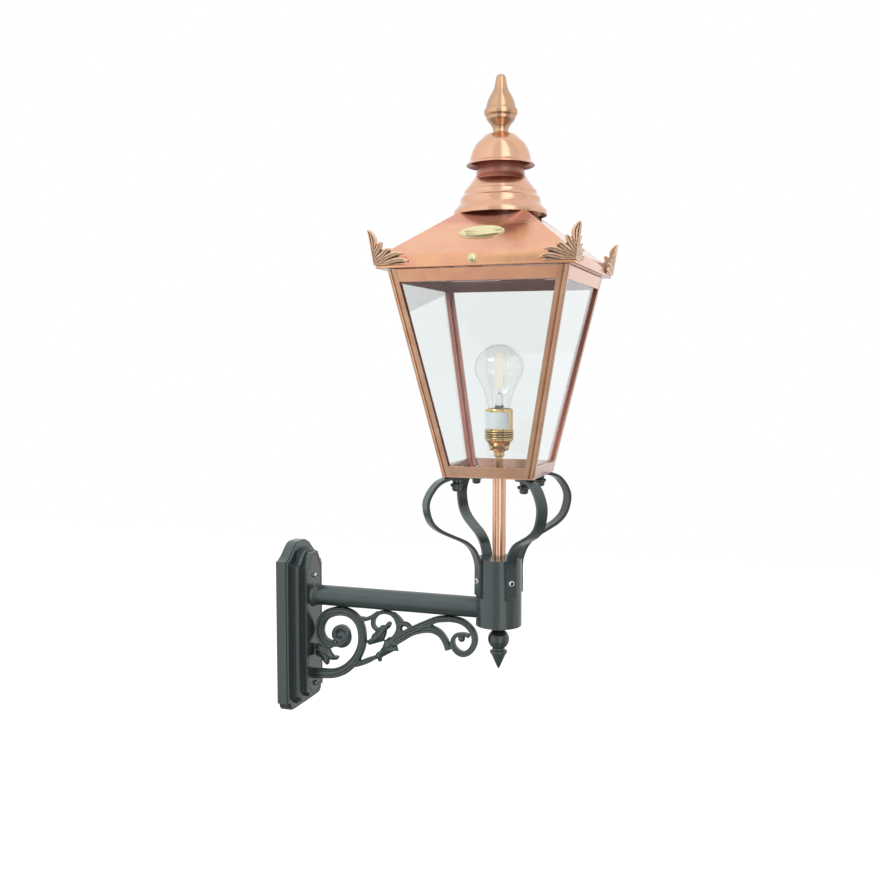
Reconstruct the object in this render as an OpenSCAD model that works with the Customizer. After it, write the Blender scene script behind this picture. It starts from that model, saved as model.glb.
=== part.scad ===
// Copper lantern on a cast wall bracket: square tapered glazed body, hinged pyramid roof
// with a vented chimney, and a scrolled arm on a stepped wall plate.
// The wall is the plane x = 0, x runs away from it along the arm, and z is up.
// The origin is midway between the two wall screws of the hidden mounting bar.

/* [Wall plate] */
// Height of the arm's centre line above the middle of the wall screws
arm_z = 41; // [40:0.5:42]
// Full width of the plate's back layer
plate_w = 94; // [92:1:98]
// Depth of the whole stepped plate, from the wall to its front face
plate_d = 32.4; // [32:0.1:33]
// Thickness of the plate's cast walls
plate_wall = 4; // [3.5:0.1:4.5]
// Distance between the two wall screws
wall_screw_pitch = 90; // [84:1:96]

/* [Arm and hub] */
// Distance from the wall to the lantern's upright axis
reach = 287; // [285:1:292]
// Outside diameter of the arm tube
arm_d = 26.8; // [26:0.1:27.4]
// Wall thickness of the arm tube
arm_wall = 2.5; // [2:0.1:3]
// Outside diameter of the cast hub
hub_d = 57.4; // [56:0.2:59]
// Height of the hub's top above the arm's centre line
hub_top = 65; // [63:0.5:67]
// Depth of the hub's underside below the arm's centre line
hub_foot = 20; // [19:0.5:21]

/* [Scroll] */
// Thickness of the scrollwork at its edges
scroll_t = 7; // [6:0.5:9]
// Thickness of the scrollwork at its raised ribs
rib_t = 11; // [10:0.5:13]

/* [Straps] */
// Width of each flat strap
strap_w = 13.5; // [12:0.5:15]
// Thickness of each flat strap
strap_t = 4; // [3.6:0.1:4.2]

/* [Lantern body] */
// Height of the lantern's base above the arm's centre line
base_z = 170.3; // [168:0.1:172]
// Full width of the body at its base
base_w = 112.8; // [110:0.2:116]
// Height of the roof's lower edge above the arm's centre line
eave_z = 416.7; // [414:0.1:420]
// Full width of the body just under the roof
top_w = 214.4; // [211:0.2:215]
// Width of each face of a corner post
post_w = 11.4; // [10.5:0.1:12.5]
// Thickness of the posts and rails
post_t = 3; // [2.6:0.1:3.4]
// Thickness of the panes
glass_t = 3; // [2.5:0.1:3.2]

/* [Roof] */
// How far the roof's lower rim stands out past the body, on each side
roof_over_body = 9.9; // [9.8:0.1:11.8]
// Height of the upright band round the roof
fascia_h = 13.4; // [13:0.1:14.4]
// Steepness of the four roof slopes, in degrees
roof_pitch = 37.4; // [37:0.1:38]
// Thickness of the copper sheet
sheet = 1.2; // [1:0.1:1.3]

/* [Lamp] */
// Diameter of the round glass bulb
bulb_d = 60.4; // [58:0.2:62]
// Outside diameter of the brass lampholder
holder_d = 36.8; // [36.2:0.2:37.4]

/* [Hidden] */
steel = "#C9CCCD";
paint = "#465352";
copper = "#DE9B78";
cast_copper = "#C98A66";
brass = "#D9BF78";
glass = [0.85, 0.9, 0.92, 0.35];
white = "#F2F1EC";
dark = "#2E2E2E";
EPS = 0.01;
gap = 0.3;
slip = 0.1;
FINE = 96;
corners = [0:3];

// A point on a smooth curve through a list of points, between point i and the next
function spline_at(p, i, t) =
    let (a = p[max(i - 1, 0)], b = p[i], c = p[i + 1], d = p[min(i + 2, len(p) - 1)])
    b + (c - a) * t / 2 + (2 * a - 5 * b + 4 * c - d) * t * t / 2
      + (3 * b - a - 3 * c + d) * t * t * t / 2;

// A smooth curve through all the points, with n steps between neighbours
function curve(p, n) = concat(
    [for (i = [0:len(p) - 2]) for (k = [0:n - 1]) spline_at(p, i, k / n)],
    [p[len(p) - 1]]);

function flat(v) = [v.x, v.y];

// Unit vector to the left of a curve at its point i
function left_of(c, i) =
    let (d = flat(c[min(i + 1, len(c) - 1)]) - flat(c[max(i - 1, 0)]))
    [-d.y, d.x] / norm(d);

// Outline of a ribbon: each point of c is x, y and half width, and part scales the width
function ribbon(c, part = 1) = concat(
    [for (i = [0:len(c) - 1]) flat(c[i]) + left_of(c, i) * c[i].z * part],
    [for (i = [len(c) - 1:-1:0]) flat(c[i]) - left_of(c, i) * c[i].z * part]);

// Outline of a thin wall that lies to the left of a curve
function wall_of(c, t) = concat(
    [for (p = c) flat(p)],
    [for (i = [len(c) - 1:-1:0]) let (q = flat(c[i]) + left_of(c, i) * t) [max(q.x, 0), q.y]]);

// Points along a circular arc
function arc(x, y, r, from, to, n) =
    [for (k = [0:n]) let (a = from + (to - from) * k / n) [x + r * cos(a), y + r * sin(a)]];

// Half width of the glazed body at a height
body_lean = (top_w - base_w) / 2 / (eave_z - base_z);
function body_half(z) = base_w / 2 + body_lean * (z - base_z);

module at_arm() {
    translate([0, 0, arm_z]) children();
}

module at_lamp() {
    translate([reach, 0, arm_z]) children();
}

// The four sides of the lantern, from the badge side round by the outer side
module on_side(i) {
    at_lamp() rotate([0, 0, 90 * i]) children();
}

// Extrudes an outline of y and z along x
module along_x(from, to) {
    translate([from, 0, 0]) rotate([90, 0, 90]) linear_extrude(to - from) children();
}

// Extrudes an outline of x and z evenly to both sides of y = 0
module across_y(width) {
    rotate([90, 0, 0]) linear_extrude(width, center = true) children();
}

// Wall plate: five cast layers with a crown at the top and rounded feet at the bottom,
// each with half width, shoulder, crown, foot, depth of foot and front face
front_x = plate_d;
LAYERS = [
    [plate_w / 2, 50.5, 72, -138, 12, 13.5],
    [plate_w / 2 - 1.6, 49.5, 70.6, -137, 11.6, 16.4],
    [36.5, 43.5, 62, -132.5, 11, 20.5],
    [34.6, 42.3, 60.2, -131, 10.6, 26],
    [23.4, 40.5, 57.5, -127.5, 9, front_x]];
foot_step = 5;
crown_half = 8;

function plate_outline(l, d = 0) =
    let (w = l[0] - d, shoulder = l[1] - d, crown = l[2] - d, foot = l[3] + d, r = l[4],
         flat_w = crown_half - d / 2)
    concat(
        [[w, foot]],
        [for (k = [0:10]) let (s = 1 - k / 10)
            [flat_w + (w - flat_w) * s, shoulder + (crown - shoulder) * (1 + cos(180 * s)) / 2]],
        [for (k = [0:10]) let (s = k / 10)
            [-flat_w - (w - flat_w) * s, shoulder + (crown - shoulder) * (1 + cos(180 * s)) / 2]],
        [[-w, foot]],
        arc(foot_step + r - w, foot, r, 180, 270, 8),
        arc(w - foot_step - r, foot, r, 270, 360, 8));

screw_top = 26;
screw_low = -120.5;
plate_screw_r = 2.4;
boss_r = 5.5;
bar_t = 3;
bead_in = 3.6;
bead_w = 1;
bead_d = 0.7;

module panel_line(d) {
    polygon(plate_outline(LAYERS[4], d));
}

module wall_plate() {
    color(paint) at_arm() difference() {
        for (k = [0:len(LAYERS) - 1]) {
            along_x(k == 0 ? 0 : LAYERS[k - 1][5] - EPS, LAYERS[k][5])
                polygon(plate_outline(LAYERS[k]));
        }
        difference() {
            for (l = LAYERS) along_x(-1, l[5] - plate_wall) polygon(plate_outline(l, plate_wall));
            for (z = [screw_top, screw_low])
                translate([bar_t + gap, 0, z]) rotate([0, 90, 0]) cylinder(r = boss_r, h = plate_d);
        }
        for (z = [screw_top, screw_low])
            translate([-1, 0, z]) rotate([0, 90, 0]) cylinder(r = plate_screw_r + slip, h = plate_d + 2);
        rotate([0, 90, 0]) cylinder(r = arm_d / 2 + slip / 2, h = plate_d + 2, $fn = FINE);
        difference() {
            along_x(front_x - bead_d, front_x + 1) panel_line(bead_in);
            along_x(front_x - 2 * bead_d, front_x + 2) panel_line(bead_in + bead_w);
        }
    }
}

// Mounting bar: steel strip on the wall, with two slots for wall screws, a hole for the
// supply and two tapped holes for the plate's screws
bar_w = 28;
bar_over = 8;
wall_slot_r = 3;
wall_slot_l = 14;
supply_hole_r = 8;

module mounting_bar() {
    color(steel) difference() {
        translate([0, -bar_w / 2, arm_z + screw_low - bar_over])
            cube([bar_t, bar_w, screw_top - screw_low + 2 * bar_over]);
        for (s = [-1, 1]) {
            for (e = [-1, 1])
                translate([-1, 0, s * wall_screw_pitch / 2 + e * (wall_slot_l / 2 - wall_slot_r)])
                    rotate([0, 90, 0]) cylinder(r = wall_slot_r, h = bar_t + 2);
            translate([-1, -wall_slot_r, s * wall_screw_pitch / 2 - wall_slot_l / 2 + wall_slot_r])
                cube([bar_t + 2, 2 * wall_slot_r, wall_slot_l - 2 * wall_slot_r]);
        }
        translate([-1, 0, 0]) rotate([0, 90, 0]) cylinder(r = supply_hole_r, h = bar_t + 2);
        for (z = [screw_top, screw_low])
            translate([-1, 0, arm_z + z]) rotate([0, 90, 0])
                cylinder(r = plate_screw_r + slip / 2, h = bar_t + 2);
    }
}

// Plate screws: two domed screws through the plate into the bar
plate_head_r = 3.4;
plate_head_h = 4.6;

module plate_screws() {
    color(steel) at_arm() for (z = [screw_top, screw_low]) translate([0, 0, z]) rotate([0, 90, 0]) {
        translate([0, 0, 0.3]) cylinder(r = plate_screw_r, h = plate_d);
        translate([0, 0, plate_d]) rotate_extrude($fn = FINE)
            polygon(concat([[0, 0], [plate_head_r, 0]],
                arc(0, plate_head_h - plate_head_r, plate_head_r, 0, 90, 8)));
    }
}

// Terminal block: three-way plastic connector on the bar, just below the arm
block_size = [14, 30, 16];
block_z = -15;
block_hole_r = 2.8;

module terminal_block() {
    color(white) translate([bar_t, 0, block_z]) difference() {
        translate([0, -block_size.y / 2, -block_size.z / 2]) cube(block_size);
        for (y = [-10, 0, 10])
            translate([block_size.x / 2 + 1, y, -block_size.z])
                cylinder(r = block_hole_r, h = 2 * block_size.z);
    }
}

// Arm: round tube let into the plate and the hub
hub_wall = 7;
arm_in = front_x - plate_wall - 0.5;
arm_out = reach - hub_d / 2 + hub_wall - 0.5;

module arm_tube() {
    color(paint) at_arm() translate([arm_in, 0, 0]) rotate([0, 90, 0]) difference() {
        cylinder(d = arm_d, h = arm_out - arm_in, $fn = FINE);
        translate([0, 0, -1]) cylinder(r = arm_d / 2 - arm_wall, h = arm_out - arm_in + 2, $fn = FINE);
    }
}

// Scroll bracket: one casting in the plane of the arm. Each band is a list of
// distance from the plate, height from the arm's centre line and half width.
BANDS = [
    [[-2, -107.5, 7.3], [9, -106.5, 7.3], [28, -104.5, 6.8], [44, -97.5, 6.5], [58.5, -83.5, 6.2],
     [67, -67.3, 6.1], [69.2, -53, 6], [67, -38, 6], [60, -27, 6.2], [48.4, -20.6, 6.4],
     [33.5, -20.3, 6.5], [18.5, -26, 6.7], [9.8, -37.5, 6.8], [8, -51, 7], [14, -62, 6.8],
     [27, -66, 5.5]],
    [[55, -91.5, 3], [66, -87.8, 3.6], [77, -82.5, 4], [86, -78.2, 3], [94, -74.2, 2.8]],
    [[112, -57.5, 5], [124.5, -45.4, 4.7], [134, -39.3, 4.7], [145, -33.1, 4.6], [158, -26.8, 4.6],
     [172, -20.6, 4.6], [184, -18.4, 4.6], [195, -18, 4.3], [207.5, -20.4, 4.2], [217.3, -27.4, 4.2],
     [223, -37, 4.2], [223, -47.5, 4.2], [217.4, -57.4, 4.2], [209, -62, 4.2], [200.5, -59.6, 3.9],
     [195, -52.7, 3.4], [194.5, -45, 3], [198.5, -38.7, 2.8], [205, -36.8, 2.4],
     [209.8, -40, 2]],
    [[108, -59, 5.3], [115, -54.6, 5.3], [124.5, -48.4, 5.3], [137, -40.5, 5.2], [150, -35.7, 5.2],
     [164, -33.4, 5.4], [175, -36.6, 4.8], [182, -43.4, 4.3], [187, -50.5, 4], [192.5, -55, 3.2]],
    [[108, -54.4, 3.8], [115.7, -46.9, 3.4], [120, -36.7, 2.8], [118.5, -26.5, 2.8], [114, -19.8, 2.6],
     [107, -16.5, 2.6], [99, -16.4, 2.6], [91, -19.5, 3], [85.5, -26.6, 2.8], [84.8, -35, 2.5],
     [90, -40.8, 2.2]],
    [[112, -16.8, 2.5], [119, -22.2, 2.8], [126, -30.1, 3.1]],
    [[91, -18, 2.8], [83, -23.8, 2.8], [75, -27.5, 2.9], [66, -27.5, 3.2]]];

// Raised spiral on the volute's round end
COIL = [[14, -62, 2.6], [26, -66, 2.8], [38, -63.7, 2.8], [47, -56.7, 2.8], [49, -47.3, 2.6],
        [43, -41, 2.5], [35, -41, 2.4], [29.4, -47.5, 2.2], [32.5, -53.4, 2]];

// Outlines of the cast leaves: at the volute's foot, at the knot and inside the ring
LEAVES = [
    [[1, -66], [11, -67], [22, -71], [26, -78], [30, -81.5], [34, -80], [36, -82], [33, -86], [26, -87],
     [21.5, -86], [20.5, -93], [17.5, -94.5], [13, -91], [9.5, -85], [1, -82]],
    [[91, -72], [98, -62], [100.5, -54], [107, -48.5], [115, -49], [119.5, -53.4], [113, -60.4],
     [117.5, -58.4], [119.8, -66.6], [115, -66.2], [108.5, -70], [99, -75.5], [92, -77]],
    [[74, -57], [79, -62], [86, -59.5], [99, -55], [103, -46], [104, -39.6], [108.5, -36],
     [111, -30.6], [108.5, -27.8], [104.5, -29], [103.5, -32.7], [96, -34], [91, -39], [86, -45],
     [83, -47.5], [81, -53.5], [77, -55.5]]];

coil_centre = [38, -52.6];
coil_r = 15;
coil_eye = [33.8, -49.6];
eye_r = 3.6;
knot = [93, -74.4];
knot_r = 4.7;
spur = [93.8, -80.2];
spur_r = 2.3;
eyelet = [129, -37];
eyelet_r = 9.6;
eyelet_hole_r = 4;
rib_part = 0.5;
scroll_l = 225.9;
scroll_fit = (reach - hub_d / 2 - plate_d) / scroll_l;
leaf_t = 9;
bead_t = 13;

LEAF_VEINS = [
    [[2, -73, 1.6], [14, -76, 1.4], [26, -83, 0.6]],
    [[94, -73, 1.8], [103, -64, 1.7], [113, -54, 0.7]],
    [[80, -58.5, 1.4], [92, -50, 1.4], [101, -40, 1.2], [107, -33, 1]]];

// One layer of the casting: its outlines, clear of the plate and the arm, with the eyelet open
module scroll_layer(thick) {
    translate([front_x, 0, 0]) across_y(thick) difference() {
        scale([scroll_fit, 1]) children();
        translate([-plate_d, -2 * plate_w]) square([plate_d, 2 * plate_w]);
        translate([-plate_d, -arm_d / 2 - slip / 2]) square([reach, arm_d]);
        scale([scroll_fit, 1]) translate(eyelet) circle(r = eyelet_hole_r, $fn = FINE);
    }
}

module spot(centre, r) {
    translate(centre) circle(r = r, $fn = FINE);
}

module scroll_bracket() {
    color(paint) at_arm() {
        scroll_layer(scroll_t) {
            for (b = BANDS) polygon(ribbon(curve(b, 3)));
            spot(coil_centre, coil_r);
            spot(eyelet, eyelet_r);
            spot(spur, spur_r);
            for (l = LEAVES) polygon(l);
        }
        scroll_layer(leaf_t) for (l = LEAVES) polygon(l);
        scroll_layer(rib_t) {
            for (b = BANDS) polygon(ribbon(curve(b, 3), rib_part));
            polygon(ribbon(curve(COIL, 4)));
        }
        scroll_layer(bead_t) {
            spot(coil_eye, eye_r);
            spot(knot, knot_r);
            for (v = LEAF_VEINS) polygon(ribbon(curve(v, 4)));
        }
    }
}

// Hub: round casting with four flats for the straps, hollow inside for the wiring
flat_r = hub_d / 2 - 1.5;
flat_from = 16;
flat_w = 19;
riser_r = 8.4;
riser_wall = 1.2;
hub_floor = 8;
pendant_thread_r = 4;
strap_screw_z = 37.7;
strap_screw_r = 2;

// The four diagonals of the lantern, where the straps stand
module on_diagonal(i) {
    at_lamp() rotate([0, 0, 90 * i - 45]) children();
}

module hub() {
    color(paint) difference() {
        at_lamp() translate([0, 0, -hub_foot]) cylinder(d = hub_d, h = hub_top + hub_foot, $fn = FINE);
        at_lamp() translate([0, 0, hub_floor - hub_foot])
            cylinder(r = hub_d / 2 - hub_wall, h = hub_top + hub_foot - 2 * hub_floor, $fn = FINE);
        at_lamp() cylinder(r = riser_r + slip / 2, h = hub_top + 1, $fn = FINE);
        at_lamp() translate([0, 0, -hub_foot - 1]) cylinder(r = pendant_thread_r, h = hub_floor + 2);
        at_arm() translate([reach - hub_d, 0, 0]) rotate([0, 90, 0])
            cylinder(r = arm_d / 2 + slip / 2, h = hub_d, $fn = FINE);
        for (i = corners) on_diagonal(i) {
            translate([flat_r, -flat_w / 2, flat_from]) cube([hub_d, flat_w, hub_top]);
            translate([0, 0, strap_screw_z]) rotate([0, 90, 0])
                cylinder(r = strap_screw_r + slip / 2, h = hub_d);
        }
    }
}

// Pendant: turned ball and cone under the hub, screwed in by its spigot
module hub_pendant() {
    color(paint) at_lamp() translate([0, 0, -hub_foot]) {
        rotate_extrude($fn = FINE) polygon(concat(
            [[0, -0.05], [10.5, -0.05], [11.2, -1.5], [11.2, -5]],
            arc(0, -18.3, 13.5, 62, -58, 10),
            [[8, -30.6], [8.6, -31.6], [11, -33.4], [11, -35.2], [9.4, -37.6]],
            [[6.4, -44], [3, -51.5], [1.2, -55.4], [0, -56.3]]));
        translate([0, 0, -1]) cylinder(r = pendant_thread_r - slip / 2, h = hub_floor);
    }
}

// Straps: flat bars bolted to the hub, sweeping out and back in under the lantern's base.
// Each point is distance from the lantern's axis, height and half thickness.
strap_in = flat_r + strap_t / 2;
strap_top = base_z - strap_t / 2;
nut_in = 14.1;
nut_r = (base_w / 2 - nut_in) * sqrt(2);
strap_foot = flat_from + 4;

function strap_line() = [for (p = [
    [strap_in, strap_foot], [strap_in, 38], [strap_in, 56], [strap_in + 2.6, 67],
    [strap_in + 8.4, 78.5], [strap_in + 20, 88.6], [strap_in + 38, 97], [strap_in + 55, 105.5],
    [strap_in + 66.5, 117], [strap_in + 71.6, 135], [strap_in + 68, strap_top - 20],
    [strap_in + 57, strap_top - 6.6], [strap_in + 43, strap_top - 0.6], [strap_in + 36, strap_top],
    [nut_r, strap_top], [nut_r - 10, strap_top]]) [p.x, p.y, strap_t / 2]];

stud_r = 3;

module strap(i) {
    color(paint) on_diagonal(i) difference() {
        across_y(strap_w) polygon(ribbon(curve(strap_line(), 4)));
        translate([0, 0, strap_screw_z]) rotate([0, 90, 0]) cylinder(r = strap_screw_r + slip, h = hub_d);
        translate([nut_r, 0, strap_top - strap_t]) cylinder(r = stud_r + slip, h = 2 * strap_t);
        translate([0, -strap_w, base_z]) cube([2 * nut_r, 2 * strap_w, strap_t]);
        translate([0, -strap_w, 0]) cube([flat_r, 2 * strap_w, hub_top + strap_w]);
    }
}

// Strap screws: bright button heads with a six-sided socket
button_r = 3.6;
button_h = 2;
socket_r = 1.5;

module strap_screws() {
    color(steel) for (i = corners) on_diagonal(i)
        translate([flat_r + strap_t, 0, strap_screw_z]) rotate([0, 90, 0]) difference() {
            union() {
                rotate_extrude($fn = FINE) polygon(concat([[0, 0], [button_r, 0]],
                    [[button_r, 0.6], [button_r - 0.7, 1.5], [button_r - 1.8, button_h], [0, button_h]]));
                translate([0, 0, 0.5 - strap_t - hub_wall])
                    cylinder(r = strap_screw_r, h = strap_t + hub_wall);
            }
            translate([0, 0, button_h - 1.2]) cylinder(r = socket_r, h = 2, $fn = 6);
        }
}

// Thumb nuts: lobed nuts under the straps that hold the lantern down
nut_lobes = 6;
nut_body_r = 7;
nut_lobe_d = 1.1;
nut_h = 10.5;
nut_collar_h = 4;
nut_collar_r = 5.2;
nut_z = strap_top - strap_t / 2;

module thumb_nuts() {
    color(paint) for (i = corners) on_diagonal(i) translate([nut_r, 0, nut_z]) difference() {
        union() {
            translate([0, 0, -nut_collar_h]) cylinder(r = nut_collar_r, h = nut_collar_h);
            translate([0, 0, -nut_collar_h - nut_h]) linear_extrude(nut_h) polygon(
                [for (a = [0:6:354]) (nut_body_r + nut_lobe_d * cos(nut_lobes * a)) * [cos(a), sin(a)]]);
        }
        translate([0, 0, -nut_collar_h - nut_h + 2]) cylinder(r = stud_r + slip / 2, h = 2 * nut_h);
    }
}

// Studs: hexagon-headed studs through the base tray and the straps
stud_head_r = 5.6;
stud_head_h = 3.5;
tray_t = 1.5;

module base_studs() {
    color(steel) for (i = corners) on_diagonal(i) translate([nut_r, 0, 0]) {
        translate([0, 0, base_z + tray_t]) cylinder(r = stud_head_r, h = stud_head_h, $fn = 6);
        translate([0, 0, nut_z - nut_collar_h - nut_h / 2])
            cylinder(r = stud_r, h = base_z + tray_t - nut_z + nut_collar_h + nut_h / 2 + 1);
    }
}

// Riser: copper tube from the hub up to the lantern's base
riser_foot = hub_top - hub_floor + 0.5;

module riser_tube() {
    color(copper) at_lamp() translate([0, 0, riser_foot]) difference() {
        cylinder(r = riser_r, h = base_z - riser_foot, $fn = FINE);
        translate([0, 0, -1]) cylinder(r = riser_r - riser_wall, h = base_z, $fn = FINE);
    }
}

// A bar of one section that leans with the body's corner. Its points are measured from the
// corner, inwards along both sides, and caps lists the faces that close its ends.
module leaning(section, caps, from, to) {
    n = len(section);
    polyhedron(
        points = concat(
            [for (p = section) [body_half(from) - p.x, p.y - body_half(from), from]],
            [for (p = section) [body_half(to) - p.x, p.y - body_half(to), to]]),
        faces = concat(
            caps,
            [for (c = caps) [for (k = [len(c):-1:1]) n + c[k % len(c)]]],
            [for (k = [0:n - 1]) [k, n + k, n + (k + 1) % n, (k + 1) % n]]));
}

// A slab behind one face of the body: distance in from the face, thickness, heights,
// and how far its ends stay short of the corner at the bottom and at the top
module face_slab(inset, t, from, to, end) {
    b = body_half(from);
    u = body_half(to);
    polyhedron(
        points = [
            [end - b, inset - b, from], [b - end, inset - b, from],
            [b - end, inset + t - b, from], [end - b, inset + t - b, from],
            [end - u, inset - u, to], [u - end, inset - u, to],
            [u - end, inset + t - u, to], [end - u, inset + t - u, to]],
        faces = [[0, 1, 2, 3], [7, 6, 5, 4], [0, 4, 5, 1], [1, 5, 6, 2], [2, 6, 7, 3], [3, 7, 4, 0]]);
}

// Base tray: folded copper floor with a low rail along each side
rail_top = base_z + 13.7;
nipple_r = 4.4;
body_top = eave_z - gap;
tray_edge = base_w / 2;

module base_tray() {
    color(copper) difference() {
        union() {
            at_lamp() translate([-tray_edge, -tray_edge, base_z]) cube([base_w, base_w, tray_t]);
            for (i = corners) on_side(i) face_slab(0, post_t, base_z + tray_t - EPS, rail_top, post_w);
        }
        at_lamp() translate([0, 0, base_z - 1]) cylinder(r = nipple_r + slip, h = tray_t + 2);
        for (i = corners) on_diagonal(i) translate([nut_r, 0, base_z - 1])
            cylinder(r = stud_r + slip, h = tray_t + 2);
    }
}

// Top rails: the frame's upper edge, one between each pair of posts
rail_foot = eave_z - 15.2;

module top_rail(i) {
    color(copper) on_side(i) face_slab(0, post_t, rail_foot, body_top, post_w);
}

// Corner posts: folded section with a beaded outer corner between two grooves, a neck between
// the panes, and a lip that holds the panes from behind
bead = 2.4;
groove = 1.1;
pane_in = post_t + slip / 2;
pane_back = pane_in + glass_t + slip / 2;
lip_back = pane_back + 1.4;
lip_w = 12.6;
pane_end = lip_back + gap;
POST = [
    [post_w, post_t], [post_w, 0], [bead + 2 * groove, 0], [bead + groove, groove], [bead, 0.1],
    [0.9, 0.3], [0.3, 0.9], [0.1, bead], [groove, bead + groove], [0, bead + 2 * groove],
    [0, post_w], [post_t, post_w], [post_t, lip_back], [pane_back, lip_back], [pane_back, lip_w],
    [lip_back, lip_w], [lip_back, lip_back], [lip_w, lip_back], [lip_w, pane_back],
    [lip_back, pane_back], [lip_back, post_t]];
POST_CAPS = [
    [13, 16, 19, 20, 2, 3, 4, 5, 6, 7, 8, 9, 12], [20, 0, 1, 2], [12, 9, 10, 11],
    [19, 16, 17, 18], [13, 14, 15, 16]];

module corner_post(i) {
    color(copper) on_side(i) leaning(POST, POST_CAPS, base_z + tray_t, body_top);
}

// Glass: a clear pane behind each opening, its edges inside the posts
pane_foot = base_z + tray_t + 1;
pane_top = body_top - 2;

module glass_pane(i) {
    color(glass) on_side(i) face_slab(pane_in, glass_t, pane_foot, pane_top, pane_end);
}

// Roof: upright fascia with a rolled rim, four slopes up to a flat top with a square hole,
// and an inner ledge over the body's frame
roof_half = top_w / 2 + roof_over_body;
rim = 1.1;
rim_h = 3;
face_half = roof_half - rim;
slope = tan(roof_pitch);
fascia_top = eave_z + fascia_h;
hole_half = 36;
sheet_up = sheet / cos(roof_pitch);
ledge_half = top_w / 2 - 8.2;
ledge_t = 1.2;
catch_w = 16;
screw_z = eave_z + 8.8;
roof_screw_r = 2;

// Heights of the slopes' outer and inner surfaces at a distance from the lamp's axis
function roof_over(h) = fascia_top + (face_half - h) * slope;
function roof_under(h) = roof_over(h) - sheet_up;

roof_top = roof_over(hole_half);

module frustum(h0, z0, h1, z1) {
    polyhedron(
        points = [
            [-h0, -h0, z0], [h0, -h0, z0], [h0, h0, z0], [-h0, h0, z0],
            [-h1, -h1, z1], [h1, -h1, z1], [h1, h1, z1], [-h1, h1, z1]],
        faces = [[0, 1, 2, 3], [7, 6, 5, 4], [0, 4, 5, 1], [1, 5, 6, 2], [2, 6, 7, 3], [3, 7, 4, 0]]);
}

module roof() {
    inner = face_half - sheet;
    color(copper) at_lamp() difference() {
        union() {
            translate([-face_half, -face_half, eave_z]) cube([2 * face_half, 2 * face_half, fascia_h]);
            translate([-roof_half, -roof_half, eave_z]) cube([2 * roof_half, 2 * roof_half, rim_h]);
            frustum(face_half, fascia_top - EPS, hole_half, roof_top);
        }
        translate([-inner, -inner, eave_z + ledge_t])
            cube([2 * inner, 2 * inner, roof_under(inner) - eave_z - ledge_t]);
        frustum(inner, roof_under(inner) - EPS, hole_half, roof_under(hole_half));
        translate([-hole_half + 1, -hole_half + 1, roof_top - 2 * sheet_up])
            cube([2 * hole_half - 2, 2 * hole_half - 2, 4 * sheet_up]);
        translate([-ledge_half, -ledge_half, eave_z - 1]) cube([2 * ledge_half, 2 * ledge_half, 3]);
        translate([-catch_w / 2 - 1, -inner, eave_z - 1]) cube([catch_w + 2, inner - ledge_half + 1, 3]);
        translate([0, -roof_half - 1, screw_z]) rotate([-90, 0, 0])
            cylinder(r = roof_screw_r + slip, h = 2 * sheet + 2 * rim);
    }
}

// Corner leaves: cast leaf on the fascia above the rim, with a tall tip that follows the roof's
// corner and leans outwards, and a wing along each side whose lobes leave the corner steeply and
// bend over. Its edge is a list of angle above the rim, reach and height of relief.
LEAF_EDGE = [
    [0, 43.5, 0.5], [4, 46.5, 1], [8, 42.5, 0.7], [12, 34, 0.1], [16, 41.5, 1], [20, 39, 0.7],
    [25, 30, 0.1], [30, 33, 1], [36, 30.5, 0.7], [45, 25, 0.1], [53, 28, 0.8], [59, 31, 1],
    [65, 26, 0.4], [70.5, 21.5, 0], [74, 27, 0.3], [77.5, 32, 0.6], [81.5, 35.5, 0.7],
    [86, 38.5, 0.8], [90, 40.5, 1]];
leaf_lean = 0.145;
leaf_bend = 24;
leaf_z = eave_z + rim_h + gap;
leaf_wall = 1.4;
leaf_rings = 5;
leaf_relief = 1.3;
leaf_foot = 1;
leaf_rays = len(LEAF_EDGE) - 1;

// A point of the leaf: ray j across both wings, ring k out from the corner, front or back
function leaf_point(j, k, front) =
    let (e = LEAF_EDGE[j > leaf_rays ? 2 * leaf_rays - j : j], f = k / leaf_rings,
         r = leaf_foot + f * (e[1] - leaf_foot), a = e[0] + leaf_bend * (1 - f) * sin(2 * e[0]),
         s = r * cos(a), z = r * sin(a),
         out = face_half + gap + leaf_lean * z + (front ? leaf_wall + leaf_relief * f * e[2] : 0))
    j > leaf_rays ? [out, s - out, z] : [out - s, -out, z];

module corner_leaf(i) {
    m = leaf_rays * 2;
    n = leaf_rings;
    back = (m + 1) * (n + 1);
    color(cast_copper) on_side(i) translate([0, 0, leaf_z]) polyhedron(
        points = [for (front = [true, false]) for (j = [0:m]) for (k = [0:n]) leaf_point(j, k, front)],
        faces = concat(
            [for (j = [0:m - 1]) for (k = [0:n - 1]) let (p = j * (n + 1) + k, q = p + n + 1)
                each [[p, q, q + 1], [p, q + 1, p + 1]]],
            [for (j = [0:m - 1]) for (k = [0:n - 1]) let (p = back + j * (n + 1) + k, q = p + n + 1)
                each [[p, q + 1, q], [p, p + 1, q + 1]]],
            [for (j = [0:m - 1]) let (p = j * (n + 1), q = p + n + 1)
                each [[p, p + back, q + back], [p, q + back, q]]],
            [for (j = [0:m - 1]) let (p = j * (n + 1) + n, q = p + n + 1)
                each [[p, q, q + back], [p, q + back, p + back]]],
            [for (k = [0:n - 1]) each [[k, k + 1, k + 1 + back], [k, k + 1 + back, k + back]]],
            [for (k = [0:n - 1]) let (p = m * (n + 1) + k)
                each [[p, p + 1 + back, p + 1], [p, p + back, p + 1 + back]]]));
}

// Badge: blank oval brass plate on the front slope, with a pin at each end
badge_a = 27;
badge_b = 14.2;
badge_t = 0.8;
badge_up = 36.2;
badge_y = face_half - badge_up;
pin_x = 21.5;
pin_r = 1;

module on_front_slope() {
    at_lamp() translate([0, -badge_y, roof_over(badge_y) + slip]) rotate([roof_pitch, 0, 0]) children();
}

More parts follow.
